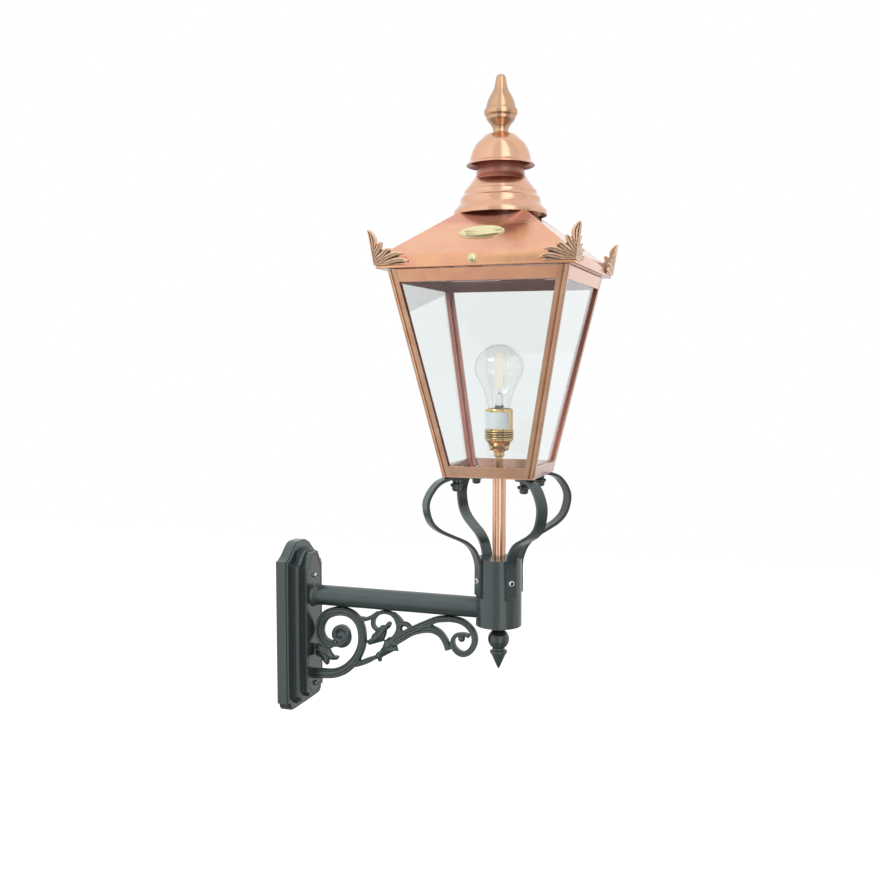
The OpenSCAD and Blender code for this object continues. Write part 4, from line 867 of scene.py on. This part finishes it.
# Inward faces take painted shade and reflection; the outside goes a little redder and duller
tray = shade_marked(rounded("base_tray", SHEET_EDGE), TRAY_INSIDE, TRAY_OUTSIDE)
put("base_tray_folded", tray, FIXED, drawn_copper, "base_tray")

# Top rails. Folded copper strips, soldered between the heads of the corner posts, that tie the
# frame together and carry the roof's ledge.
COPPER_PINK = "#F0AC8C"
COPPER_GOLD = "#F6BE8E"
FRAME_INSIDE = 0.85
FRAME_OUTSIDE = 0.1

# Rolled copper sheet, mopped and lacquered: a soft, slightly wavy mirror, pinker and more golden
# in turn, and red and matt on the inside, painted shade and reflection of the copper around it
rolled_copper = copper_finish("Rolled copper sheet, polished and lacquered",
                              (fine_line * 0.05, fine_line * 0.05, fine_line), 0.22, COPPER_PINK,
                              COPPER_GOLD, COPPER_PINK, 0.25)
for k in range(1, 5):
    # Inward faces take painted shade and reflection of the copper inside
    rail = shade_marked(rounded(f"top_rail_{k}", SHEET_EDGE), FRAME_INSIDE, FRAME_OUTSIDE)
    put(f"top_rail_{k}_folded", rail, FIXED, rolled_copper, f"top_rail_{k}")

# Corner posts. Copper drawn to an angle section with a bead between two grooves at the outer
# corner and a lip behind the glass, soldered to the tray and the rails.
POST_W = 11.4
POST_T = 3.0
LIP_W = 12.6
LIP_T = 1.4
PANE_SLOT = 6.1
BEAD_AT = 2.4
BEAD_R = 2.2
post_low, post_high = (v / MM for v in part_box("corner_post_1"))
post_top_half = post_high.x - lamp_x
post_foot_half = post_low.x - lamp_x + LIP_W
lip_back = PANE_SLOT + LIP_T
half_section = [(POST_T, POST_W), (POST_T, lip_back), (PANE_SLOT, lip_back), (PANE_SLOT, LIP_W),
                (lip_back, LIP_W)]
post_section = ([(POST_W, POST_T), (POST_W, 0), (6.4, 0), (5.1, 1.5), (4.75, 1.75)]
                + arc(BEAD_AT, BEAD_AT, BEAD_R, -17, -253, 24)
                + [(1.75, 4.75), (1.5, 5.1), (0, 6.4), (0, POST_W)]
                + half_section + [(lip_back, lip_back)] + [(v, u) for u, v in half_section[:0:-1]])
for k in range(1, 5):
    shell = bmesh.new()
    rings = []
    for half, z in ((post_foot_half, post_low.z), (post_top_half, post_high.z)):
        rings.append([shell.verts.new(Vector((half - u, v - half, z)) * MM)
                      for u, v in post_section])
    for i in range(len(post_section)):
        i1 = (i + 1) % len(post_section)
        shell.faces.new((rings[0][i], rings[0][i1], rings[1][i1], rings[1][i]))
    shell.faces.new(rings[0])
    shell.faces.new(rings[1][::-1])
    bmesh.ops.triangulate(shell, faces=[f for f in shell.faces if len(f.verts) > 4])
    bmesh.ops.recalc_face_normals(shell, faces=shell.faces)
    post = moved(smoothed(made(shell, "post"), 32), lamp_x, turns=[("Z", 90 * (k - 1))])
    # Inward faces take painted shade and reflection of the copper inside
    post = shade_marked(post, FRAME_INSIDE, FRAME_OUTSIDE)
    put(f"corner_post_{k}_drawn", post, FIXED, drawn_copper, f"corner_post_{k}")

# Panes. Clear float glass, 3 mm thick, cut to the lantern's taper with ground edges and held
# between the posts' faces and the lips behind.
GLASS_TINT = "#F6F9F9"


def clear_glass(name, tint):
    """Soda-lime glass. Light from lamps passes straight through, so nothing inside goes dark."""
    material, tree, shader = principled(name, Base_Color=srgb(tint), Roughness=0.0, IOR=1.5,
                                        Transmission_Weight=1.0)
    path = add_node(tree, "ShaderNodeLightPath")
    clear = add_node(tree, "ShaderNodeBsdfTransparent", {"Color": srgb(tint)})
    through = add_node(tree, "ShaderNodeMixShader",
                       {0: path.outputs["Is Shadow Ray"], 1: shader.outputs[0],
                        2: clear.outputs[0]})
    tree.links.new(through.outputs[0], tree.nodes["Material Output"].inputs["Surface"])
    return material


# Float glass: flat and smooth, almost without colour
float_glass = clear_glass("Soda-lime float glass, clear", GLASS_TINT)
for k in range(1, 5):
    dressed(f"glass_pane_{k}_clear", f"glass_pane_{k}", FIXED, float_glass,
        edge=0.2, segments=1)

# Lampholder. Brass nipple, cup, threaded skirt and shade ring, with a white insulator inside
# and a bare white label on the skirt.
BRASS = "#DCBE86"
BRASS_SHADE = "#6E5128"
LABEL = "#C3C9CC"
TURNING_LINE = 0.5

# Turned brass, bright: yellow, with turning lines about half a millimetre apart
brass, tree, shader = principled("Turned brass, bright", Metallic=1.0, Roughness=0.24)
# Marked faces turn dark brown: painted shade in the shade ring's grooves
shade_mask = add_node(tree, "ShaderNodeAttribute", attribute_name="shade_and_tarnish")
shade_mix = add_node(tree, "ShaderNodeMix",
                {0: shade_mask.outputs["Fac"], 6: srgb(BRASS), 7: srgb(BRASS_SHADE)}, data_type="RGBA")
tree.links.new(shade_mix.outputs[2], shader.inputs["Base Color"])
place = add_node(tree, "ShaderNodeTexCoord")
lines = add_node(tree, "ShaderNodeMapping",
                 {"Vector": place.outputs["Object"],
                  "Scale": (30.0, 30.0, 1 / (TURNING_LINE * MM))})
polish = add_node(tree, "ShaderNodeTexNoise", {"Vector": lines.outputs[0], "Scale": 1.0})
rough = add_node(tree, "ShaderNodeMapRange",
                 {"Value": polish.outputs["Fac"], "To Min": 0.1, "To Max": 0.2})
tree.links.new(rough.outputs[0], shader.inputs["Roughness"])

# Glazed paper label: white, a little shiny
label_paper = principled("Coated paper label", Base_Color=srgb(LABEL), Roughness=0.35)[0]

shell_low, shell_high = (v.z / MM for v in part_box("holder_shell"))
base_low, base_high = (v.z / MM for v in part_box("holder_base"))
holder_r = (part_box("holder_ring")[1].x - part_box("holder_ring")[0].x) / 2 / MM


def on_lamp(name, line, body, material, node, closed=False, sharp=35, segments=TURNED,
            inside=0.0, outside=0.0):
    """Puts a line of radius and height, turned about the lamp's axis, in the scene."""
    mesh = moved(smoothed(revolved(name, line, closed, segments), sharp), lamp_x)
    put(name, shade_marked(mesh, inside, outside), body, material, node)


cup_line = [(0, base_low), *eased([(5.6, base_low), (6.6, base_low + 1), (6.6, base_low + 6),
            (8, base_low + 7.3), (11.6, base_low + 8.6), (12.2, base_low + 9.5),
            (13, base_low + 14), (14.9, base_low + 18.4), (16.6, base_low + 19.6),
            (holder_r - 0.6, base_high - 1.2), (holder_r - 0.6, base_high)], 0.6), (0, base_high)]
on_lamp("holder_cup", cup_line, FIXED, brass, "holder_base")
shell_line = (eased([(holder_r - 1.3, shell_low), (holder_r - 1.3, shell_high - 3)], 0.3)
              + arc(holder_r - 3.3, shell_high - 2, 2, 0, 90, 8)
              + [(holder_r - 3.8, shell_high), (holder_r - 2.5, shell_high - 2.4),
                 (holder_r - 2.5, shell_low)])
on_lamp("holder_skirt", shell_line, FIXED, brass, "holder_shell", closed=True)
RING_RIBS = 4
RING_PITCH = 2.8
RING_DARK = 0.5
ring_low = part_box("holder_ring")[0].z / MM
ring_line = [(holder_r - 1.25, ring_low)]
for k in range(RING_RIBS):
    foot = ring_low + k * RING_PITCH
    ring_line += eased([(holder_r - 1.2, foot), (holder_r - 0.2, foot + 0.7),
                        (holder_r, foot + 1.2), (holder_r - 0.2, foot + 1.7),
                        (holder_r - 1.2, foot + 2.3)], 0.4)
ring_line.append((holder_r - 1.25, ring_low + RING_RIBS * RING_PITCH - 0.4))
# Faces between the ribs are marked: painted shade in the grooves
ring = marked(smoothed(revolved("ring", ring_line, True), 35),
              lambda p, n: 1.0 if math.hypot(p.x, p.y) < holder_r - RING_DARK else 0.0)
put("holder_shade_ring", moved(ring, lamp_x), FIXED, brass, "holder_ring")
dressed("holder_nipple_tube", "holder_nipple", FIXED, brass, edge=0.15, segments=1)
dressed("holder_insulator_disc", "holder_insulator", FIXED, nylon, edge=0.3)
dressed("holder_label_bare", "holder_label", FIXED, label_paper, edge=0.05,
    segments=1)

# Bulb. A globe of clear blown glass with a pinched stem, a cage of filament sticks on the stem
# and a brass screw cap that turns into the holder.
BULB_TINT = "#FAFBFA"
BULB_WALL = 0.6
FILAMENT_GLOW = "#FBF0DC"
TUNGSTEN = "#3A332C"
STICK_R = 0.7
STICK_OUT = 2.7
WIRE_HALF = 0.3

# Blown glass: thin, clear and bright at its rim
bulb_glass = clear_glass("Soda-lime bulb glass, blown thin", BULB_TINT)

# Coiled tungsten, pale straw: its glow is painted light that gives the sticks their colour
painted_glow_filament = principled("Tungsten filament, painted glow", Base_Color=srgb(TUNGSTEN), Roughness=0.5,
                          Emission_Color=srgb(FILAMENT_GLOW), Emission_Strength=0.95)[0]


def walled(line, wall):
    """A closed outline: the line, and its copy set to the left by the wall's thickness."""
    line = [Vector(p) for p in line]
    inner = []
    for before, here, after in zip([line[0], *line], line, [*line[1:], line[-1]]):
        way = (after - before).normalized()
        inner.append(Vector((max(here.x - way.y * wall, 0), here.y + way.x * wall)))
    return line + inner[::-1]


glass_low, glass_high = (v.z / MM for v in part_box("bulb_glass"))
bulb_r = (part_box("bulb_glass")[1].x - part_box("bulb_glass")[0].x) / 2 / MM
bulb_mid = glass_high - bulb_r
envelope = curve([(13.2, glass_low), (13.6, glass_low + 6), (14.4, glass_low + 13),
                  (15.6, glass_low + 20), (18.4, glass_low + 29.4), (22.4, glass_low + 38),
                  (26.6, bulb_mid - 12)], 5)
envelope += arc(0, bulb_mid, bulb_r, -17, 90, 40)
on_lamp("bulb_envelope", walled(envelope, BULB_WALL), FIXED, bulb_glass,
        "bulb_glass", closed=True, sharp=60)
stem_low, stem_high = (v.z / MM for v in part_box("bulb_stem"))
stem_line = eased([(0, stem_low), (11, stem_low), (10.6, stem_low + 3), (6.4, stem_low + 8),
                   (5, stem_low + 14), (4.4, stem_high - 14), (5, stem_high - 11),
                   (4.4, stem_high - 8), (2, stem_high - 7), (1.2, stem_high - 4),
                   (1.2, stem_high), (0, stem_high)], 1.0)
on_lamp("bulb_stem_glass", stem_line, FIXED, bulb_glass, "bulb_stem", sharp=60)
cage_low, cage_high = (v.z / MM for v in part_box("bulb_filament"))


def block(low_corner, high_corner):
    """A plain box between two corners, in millimetres."""
    a, b = Vector(low_corner), Vector(high_corner)
    shell = bmesh.new()
    for v in bmesh.ops.create_cube(shell, size=1)["verts"]:
        v.co = Vector(a[k] + (v.co[k] + 0.5) * (b[k] - a[k]) for k in range(3)) * MM
    return made(shell, "block")


rod_line = [(0, cage_low), (STICK_R, cage_low), (STICK_R, cage_high), (0, cage_high)]
sticks = [moved(revolved("stick", rod_line, segments=12), x * STICK_OUT, y * STICK_OUT)
          for x, y in ((1, 1), (1, -1), (-1, 1), (-1, -1), (0, 0))]
wire_reach = STICK_OUT * 1.4
for z in (cage_low + 0.5, cage_high - 0.5):
    for turn in (45, 135):
        wire = block((-wire_reach, -WIRE_HALF, z - WIRE_HALF),
                     (wire_reach, WIRE_HALF, z + WIRE_HALF))
        sticks.append(moved(wire, turns=[("Z", turn)]))
cage = moved(smoothed(joined("cage", sticks), 40), lamp_x)
put("bulb_filament_cage", cage, FIXED, painted_glow_filament, "bulb_filament")
dressed("bulb_screw_cap", "bulb_cap", FIXED, brass, edge=0.15, segments=1)

# Roof. Copper sheet folded into a pyramid with an upright band, its lower edge rolled over a
# bead and its hips soldered and rubbed round. A ledge inside rests on the body's frame.
ROOF = "roof_unit"
SHEET = 1.2
RIM = 1.1
RIM_H = 3.0
FASCIA_H = 13.4
PITCH = 37.4
HOLE_HALF = 36.0
BEND_R = 9.0
HIP_R = 1.6
LEDGE_IN = 99.0
CATCH_GAP = 9.0
MIRRORED_H = 24.0
MIRRORED_FADE = 8
MIRRORED_FULL = 0.6
MIRRORED_HALF = 70.0
MIRRORED_BANDS = 9
ROOF_INSIDE = 0.75
roof_low, roof_high = (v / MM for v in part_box("roof"))
roof_half = (roof_high.x - roof_low.x) / 2
face_half = roof_half - RIM
eave = roof_low.z
fascia_top = eave + FASCIA_H
slope = math.tan(math.radians(PITCH))


def square_rings(name, line, corner, steps=4):
    """A four-sided shell with rounded corners: line holds half width and height of each ring."""
    verts, faces = [], []
    for half, z in line:
        r = min(corner, half - 0.01)
        for side in range(4):
            a0 = math.radians(90 * side)
            cx, cy = (half - r) * (1, -1, -1, 1)[side], (half - r) * (1, 1, -1, -1)[side]
            for k in range(steps + 1):
                a = a0 + math.radians(90 * k / steps)
                verts.append(((cx + r * math.cos(a)) * MM, (cy + r * math.sin(a)) * MM, z * MM))
    n = 4 * (steps + 1)
    for first in range(0, n * (len(line) - 1), n):
        for k in range(n):
            k1 = (k + 1) % n
            faces.append((first + k, first + k1, first + n + k1, first + n + k))
    mesh = bpy.data.meshes.new(name)
    mesh.from_pydata(verts, [], faces)
    return mesh


def faded(z, foot, depth):
    """0 up to a foot height, rising to 1 over a depth."""
    return min(max((z - foot) / depth, 0), 1)


# Narrow bands from the outer edge of the chimney's painted reflection up to the hole let it fade
# evenly
roof_line = [(roof_half - 1.0, eave + 0.02)] + eased(
    [(roof_half - 0.3, eave), (roof_half, eave + 0.7), (roof_half, eave + RIM_H - 0.7),
     (roof_half - 0.3, eave + RIM_H - 0.1), (face_half, eave + RIM_H + 0.2)], 0.4, 3)
roof_line += eased([(face_half, eave + RIM_H + 0.4), (face_half, fascia_top),
                    (MIRRORED_HALF, fascia_top + (face_half - MIRRORED_HALF) * slope)], BEND_R, 8)
for k in range(1, MIRRORED_BANDS + 1):
    half = MIRRORED_HALF + (HOLE_HALF - MIRRORED_HALF) * k / MIRRORED_BANDS
    roof_line.append((half, fascia_top + (face_half - half) * slope))
holder = held("roof_skin", square_rings("roof_skin", roof_line, HIP_R))
gauge = holder.modifiers.new("gauge", "SOLIDIFY")
gauge.thickness = SHEET * MM
gauge.offset = -1
gauge.use_even_offset = True
roof_skin = plain_mesh(holder)
inner = face_half - SHEET
ledge_low = eave + 0.05
ledge_spans = ((-inner, inner, LEDGE_IN, inner), (-inner, -CATCH_GAP, -inner, -LEDGE_IN),
               (CATCH_GAP, inner, -inner, -LEDGE_IN), (-inner, -LEDGE_IN, -LEDGE_IN, LEDGE_IN),
               (LEDGE_IN, inner, -LEDGE_IN, LEDGE_IN))
ledges = [block((x0, y0, ledge_low), (x1, y1, ledge_low + SHEET)) for x0, x1, y0, y1 in ledge_spans]
roof_mesh = moved(smoothed(joined("roof", [roof_skin, *ledges]), 40), lamp_x)
# Inside, the roof takes painted shade; near the chimney the outside goes dull red, a painted
# reflection
roof_mesh = shade_marked(roof_mesh, ROOF_INSIDE,
                      lambda z: MIRRORED_FULL * faded(z, roof_high.z - MIRRORED_H, MIRRORED_FADE))
put("roof_shell", roof_mesh, ROOF, rolled_copper, "roof")

# Corner leaves. Cast copper acanthus, one on each corner of the roof, soft-soldered on: a tall
# fluted blade stands at the corner, and four lobes curl out along each side. A thin fan behind
# them ties blade and lobes to the corner.

# Each lobe is a line of distance from the corner, height and half width. The blade is height
# and half width, and the fan is angle and reach.
LOBES = [
    [(1, 0.8, 2.6), (13, 2.2, 2.8), (27, 5.2, 3.0), (35, 5.6, 2.8), (41, 3.8, 1.4)],
    [(1, 2, 3.0), (13, 7, 3.1), (25.5, 11.9, 3.0), (37.6, 12.9, 1.2)],
    [(1, 5, 3.2), (10.9, 10.9, 3.4), (18.2, 16.4, 3.0), (23, 17.8, 1.2)],
    [(0.5, 8.9, 3.0), (6.7, 16.8, 3.3), (10.9, 22.8, 2.8), (13.6, 26.1, 1.0)]]
BLADE = [(0, 5.5), (5, 4.6), (11, 3.6), (16, 4), (20, 5.6), (24, 7.0), (28, 7.8), (31, 8),
         (33, 7.2), (35.5, 5.8), (38, 3.6), (40.3, 0.6)]
FAN = [(0, 36), (20, 33), (40, 26), (60, 22), (80, 21), (90, 20)]
FAN_ROWS = (0.02, 0.35, 0.7, 1.0)
FAN_THICK = 1.0
LEAF_FOOT = 3.3
LEAF_GAP = 0.3
LEAF_LEAN = 0.145
LEAF_OUT = 2.7
CORNER_LAP = 0.4
LOBE_COLUMNS = 15
LOBE_EDGE = 0.4
LOBE_LIFT = 1.7
LOBE_GROOVE = 0.4
GROOVE_WIDE = 0.28
TIP_CURL = 0.9
CURL_FROM = 22
CURL_OVER = 18
BLADE_COLUMNS = 21
BLADE_THICK = 1.2
FLUTES = 5
FLUTE_DEPTH = 0.8
LEAF_VOXEL = 0.5
FLECK = 1.2
PIT_DEPTH = 0.08
VEIN_MIDDLE = 0.45
VEIN_GAIN = 24.0
VEIN_PASSES = 3
LEAF_HOLLOW_SHADE = "#6B4433"
LEAF_RIDGE_HIGHLIGHT = "#FFD9B8"

# Cast copper, lacquered: painted highlight on the raised veins, painted shade in the hollows
cast_copper, tree, shader = principled("Cast copper, relieved and lacquered", Metallic=1.0,
                                       Roughness=0.28)
place = add_node(tree, "ShaderNodeTexCoord")
height = add_node(tree, "ShaderNodeAttribute", attribute_name="vein")
fleck = add_node(tree, "ShaderNodeTexNoise",
                 {"Vector": place.outputs["Object"], "Scale": 1 / (FLECK * MM), "Detail": 3.0})
tint = add_node(tree, "ShaderNodeMix",
                {0: height.outputs["Fac"], 6: srgb(LEAF_HOLLOW_SHADE), 7: srgb(LEAF_RIDGE_HIGHLIGHT)},
                data_type="RGBA")
pits = add_node(tree, "ShaderNodeBump", {"Strength": 0.4, "Distance": PIT_DEPTH * MM,
                                         "Height": fleck.outputs["Fac"]})
tree.links.new(tint.outputs[2], shader.inputs["Base Color"])
tree.links.new(pits.outputs[0], shader.inputs["Normal"])


def leaf_part(rows):
    """A closed slab on both sides of the corner: rows of distance along, height and lift."""
    shell = bmesh.new()
    for front_side in (True, False):
        skins = []
        for on_front in (True, False):
            skin = []
            for row in rows:
                for along, up, out in row:
                    d = face_half + LEAF_GAP + LEAF_LEAN * up
                    d += min(out, LEAF_OUT) if on_front else 0
                    spot = (d - along, -d, up) if front_side else (d, along - d, up)
                    skin.append(shell.verts.new(Vector(spot) * MM))
            skins.append(skin)
        n, m = len(rows), len(rows[0])
        for skin in skins:
            for i in range(n - 1):
                for j in range(m - 1):
                    p = i * m + j
                    shell.faces.new((skin[p], skin[p + 1], skin[p + m + 1], skin[p + m]))
        rim = [*range(m), *range(2 * m - 1, n * m, m),
               *range(n * m - 2, (n - 1) * m - 1, -1), *range((n - 2) * m, 0, -m)]
        for a, b in zip(rim, rim[1:] + rim[:1]):
            shell.faces.new((skins[0][a], skins[0][b], skins[1][b], skins[1][a]))
    bmesh.ops.recalc_face_normals(shell, faces=shell.faces)
    return made(shell, "leaf_part")


def relief(mesh):
    """Marks each point of a cast surface from 0 in a hollow to 1 on a ridge."""
    count = len(mesh.vertices)
    spots, normals = np.empty(count * 3), np.empty(count * 3)
    mesh.vertices.foreach_get("co", spots)
    mesh.vertices.foreach_get("normal", normals)
    ends = np.empty(len(mesh.edges) * 2, dtype=int)
    mesh.edges.foreach_get("vertices", ends)
    spots, normals, ends = spots.reshape(-1, 3), normals.reshape(-1, 3), ends.reshape(-1, 2)
    here, there = np.concatenate([ends, ends[:, ::-1]]).T
    degree = np.maximum(np.bincount(here, minlength=count), 1)
    step = ((spots[here] - spots[there]) * normals[here]).sum(axis=1)
    bend = np.bincount(here, weights=step, minlength=count) / degree
    for k in range(VEIN_PASSES):
        bend = (bend + np.bincount(here, weights=bend[there], minlength=count) / degree) / 2
    level = np.clip(VEIN_MIDDLE + bend * VEIN_GAIN / MM, 0, 1)
    mesh.attributes.new("vein", "FLOAT", "POINT").data.foreach_set("value", level)
    return mesh


leaf_parts = []
for lobe in LOBES:
    line = curve(lobe, 8)
    rows = []
    for k, point in enumerate(line):
        ahead = line[min(k + 1, len(line) - 1)] - line[max(k - 1, 0)]
        side = Vector((-ahead.y, ahead.x)).normalized()
        curl = TIP_CURL * (k / (len(line) - 1)) ** 4
        row = []
        for v in np.linspace(-1, 1, LOBE_COLUMNS):
            lift = LOBE_EDGE + LOBE_LIFT * math.sqrt(max(0.0, 1 - v * v)) ** 0.8
            lift += curl - LOBE_GROOVE * math.exp(-(v / GROOVE_WIDE) ** 2)
            spot = Vector(point[:2]) + side * v * point.z
            row.append((max(spot.x, -CORNER_LAP), max(spot.y, 0), lift))
        rows.append(row)
    leaf_parts.append(leaf_part(rows))
blade_rows = []
for up, half in curve(BLADE, 5):
    row = []
    for v in np.linspace(0, 1, BLADE_COLUMNS):
        flute = 0.5 + 0.5 * math.cos(FLUTES * math.pi * v)
        curl = TIP_CURL * max(0.0, up - CURL_FROM) / CURL_OVER * v ** 2
        row.append(((half + CORNER_LAP) * v - CORNER_LAP, up,
                    BLADE_THICK + FLUTE_DEPTH * flute + curl))
    blade_rows.append(row)
leaf_parts.append(leaf_part(blade_rows))
fan_rows = []
for angle, reach in FAN:
    a = math.radians(angle)
    fan_rows.append([(max(reach * share * math.cos(a), 0) - CORNER_LAP,
                      reach * share * math.sin(a), FAN_THICK) for share in FAN_ROWS])
leaf_parts.append(leaf_part(fan_rows))
leaf = relief(fused("leaf_parts", leaf_parts, LEAF_VOXEL, 2))
for k in range(1, 5):
    turned = moved(leaf.copy(), lamp_x, 0, eave + LEAF_FOOT, turns=[("Z", 90 * (k - 1))])
    put(f"corner_leaf_{k}_casting", turned, ROOF, cast_copper, f"corner_leaf_{k}")

# Badge. A pressed oval of brass sheet with a raised rim and a bare field, held on the front
# slope by two small brass pins.
BRASS_PALE = "#F6EEBE"
BADGE_RIM = 1.0
BADGE_STEP = 0.5
BADGE_SUNK = 0.35

# Brass sheet under lacquer: pale yellow, half matt
badge_brass = principled("Brass sheet, lacquered", Base_Color=srgb(BRASS_PALE), Metallic=1.0,
                         Roughness=0.34)[0]
pressed = bmesh.new()
pressed.from_mesh(rounded("badge", edge=0.2))
uphill = Vector((0, -math.sin(math.radians(PITCH)), math.cos(math.radians(PITCH))))
field = [face for face in pressed.faces if face.normal.dot(uphill) > 0.999]
bmesh.ops.inset_region(pressed, faces=field, thickness=BADGE_RIM * MM, depth=0)
bmesh.ops.inset_region(pressed, faces=field, thickness=BADGE_STEP * MM, depth=-BADGE_SUNK * MM)
put("badge_plate", smoothed(made(pressed, "badge")), ROOF, badge_brass, "badge")
dressed("badge_pin_pair", "badge_pins", ROOF, badge_brass, edge=0.15)

# Roof screw and catch. A domed brass screw through the band holds the roof shut. It turns into a
# slotted copper angle on the front rail, which the band hides.
dressed("roof_screw_turned", "roof_screw", ROOF, badge_brass, edge=0.2)
dressed("roof_catch_lug", "roof_catch", FIXED, rolled_copper, edge=0.3)

# Hinge. Two brass leaves and a pin along the rear edge, one leaf on the lantern's frame and one
# on the roof, which swings up on them.
dressed("hinge_fixed_plate", "hinge_fixed_leaf", FIXED, brass, edge=0.25)
dressed("hinge_pin_rod", "hinge_pin", FIXED, brass, edge=0.15)
dressed("hinge_roof_plate", "hinge_roof_leaf", ROOF, brass, edge=0.25)

# Crossbar and rod. A flat steel bar under the roof's hole, and the threaded rod that pulls
# finial, dome and chimney down on it.
dressed("crossbar_strip", "roof_crossbar", ROOF, zinc, edge=0.3)
dressed("finial_rod_threaded", "finial_rod", ROOF, zinc, edge=0.15)

# Chimney. Spun copper in four steps, standing on the roof's hips, so that air can leave below
# its lip on every side.
LIP_R = 57.0
LIP_DROP = 2.4
SPUN = 160
NECK_SHADE = 0.85
seat = fascia_top + (face_half - HOLE_HALF) * slope - 1
skirt_low, skirt_high = (v.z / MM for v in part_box("vent_skirt"))
skirt_line = eased([(LIP_R - 0.3, skirt_low - LIP_DROP), (LIP_R, skirt_low - LIP_DROP + 0.6),
                    (LIP_R, seat), (LIP_R - 0.6, seat + 1.8), (LIP_R - 3.6, seat + 5.2),
                    (50, seat + 9), (49.2, seat + 11.4), (48.6, seat + 17), (47.4, seat + 17.8),
                    (45, seat + 20.6), (44.6, seat + 21.4), (44.2, seat + 25.2),
                    (42.6, seat + 26.6)], 1.1)
skirt_line += curve([(42, seat + 28), (37.6, seat + 33.4), (33.6, seat + 38.6),
                     (31.8, seat + 41.2)], 6)
skirt_line += eased([(30.4, seat + 42.6), (29.4, seat + 47), (28.8, seat + 52),
                     (28.4, skirt_high)], 0.8)
# The inside and the neck under the dome take painted shade
on_lamp("chimney_spinning", walled(skirt_line, SHEET), ROOF, spun_copper,
        "vent_skirt", closed=True, sharp=50, segments=SPUN,
        inside=lambda z: 0.3 if z < seat + 5 else 1.0,
        outside=lambda z: min(faded(z, seat + 38, 3), NECK_SHADE))
dressed("dome_spider_arms", "dome_spider", ROOF, zinc, edge=0.3)

# Dome. A bell of spun copper that sits over the chimney's neck on the spider and is open below
# its rolled rim, for the warm air.
rim_z, dome_z = (v.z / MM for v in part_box("dome_cap"))
dome_line = eased([(41.8, rim_z), (41.6, rim_z + 1.0), (40.6, rim_z + 2.4), (38.6, rim_z + 3.4),
                   (37.6, rim_z + 4.6)], 0.7)
dome_line += curve([(37.5, rim_z + 5), (36.6, rim_z + 10), (34.6, rim_z + 17),
                    (30.6, rim_z + 25), (25.4, rim_z + 30.6), (19.4, dome_z - 1.6)], 8)
dome_line += eased([(18, dome_z - 1.1), (16.8, dome_z - 0.3), (16, dome_z), (2.6, dome_z)], 0.5)
# The inside of the bell takes painted shade
on_lamp("dome_spinning", walled(dome_line, SHEET), ROOF, spun_copper, "dome_cap",
        closed=True, sharp=50, segments=SPUN, inside=0.9)

# Finial. Spun and turned copper in one drop shape with a thin waist ring. Screwed on the rod, it
# pulls dome and chimney down on the roof.
FINIAL_GLANCE_SHADE = "#6F3F24"
AGED_GOLD = "#F2C79C"
AGED_PINK = "#EFBB94"

# Spun copper aged a little under its lacquer: more golden than the sheet, rims painted dark
aged_copper = copper_finish("Spun copper, aged and lacquered", spun_grain, 0.14, AGED_GOLD,
                            AGED_PINK, FINIAL_GLANCE_SHADE, 0.05)
tip_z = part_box("finial")[1].z / MM
finial_line = [(2.6, dome_z), *eased([(10.4, dome_z), (10.2, dome_z + 1.4), (9.3, dome_z + 2.2),
               (9.3, dome_z + 5.6)], 0.5)]
finial_line += curve([(9.6, dome_z + 6.4), (11, dome_z + 9.5), (13.7, dome_z + 13.2),
                      (16.8, dome_z + 17), (18.4, dome_z + 21.4)], 6)
finial_line += eased([(19.6, dome_z + 22.6), (20.3, dome_z + 24.4), (20.45, dome_z + 27.6),
                      (19.8, dome_z + 29.8), (18.5, dome_z + 30.8)], 0.9)
finial_line += curve([(18.3, dome_z + 31.6), (17.2, dome_z + 36), (15.6, dome_z + 41),
                      (13.1, dome_z + 46.1), (10.2, dome_z + 51.1), (8.1, dome_z + 56.2),
                      (7, dome_z + 61.2), (6.2, dome_z + 66.3), (5.4, tip_z - 2.8),
                      (4.2, tip_z - 1.3), (2.4, tip_z - 0.3), (0, tip_z)], 6)
finial_line += [(0, tip_z - 6), (2.6, tip_z - 7)]
on_lamp("finial_turning", finial_line, ROOF, aged_copper, "finial", closed=True,
        sharp=50, segments=128)
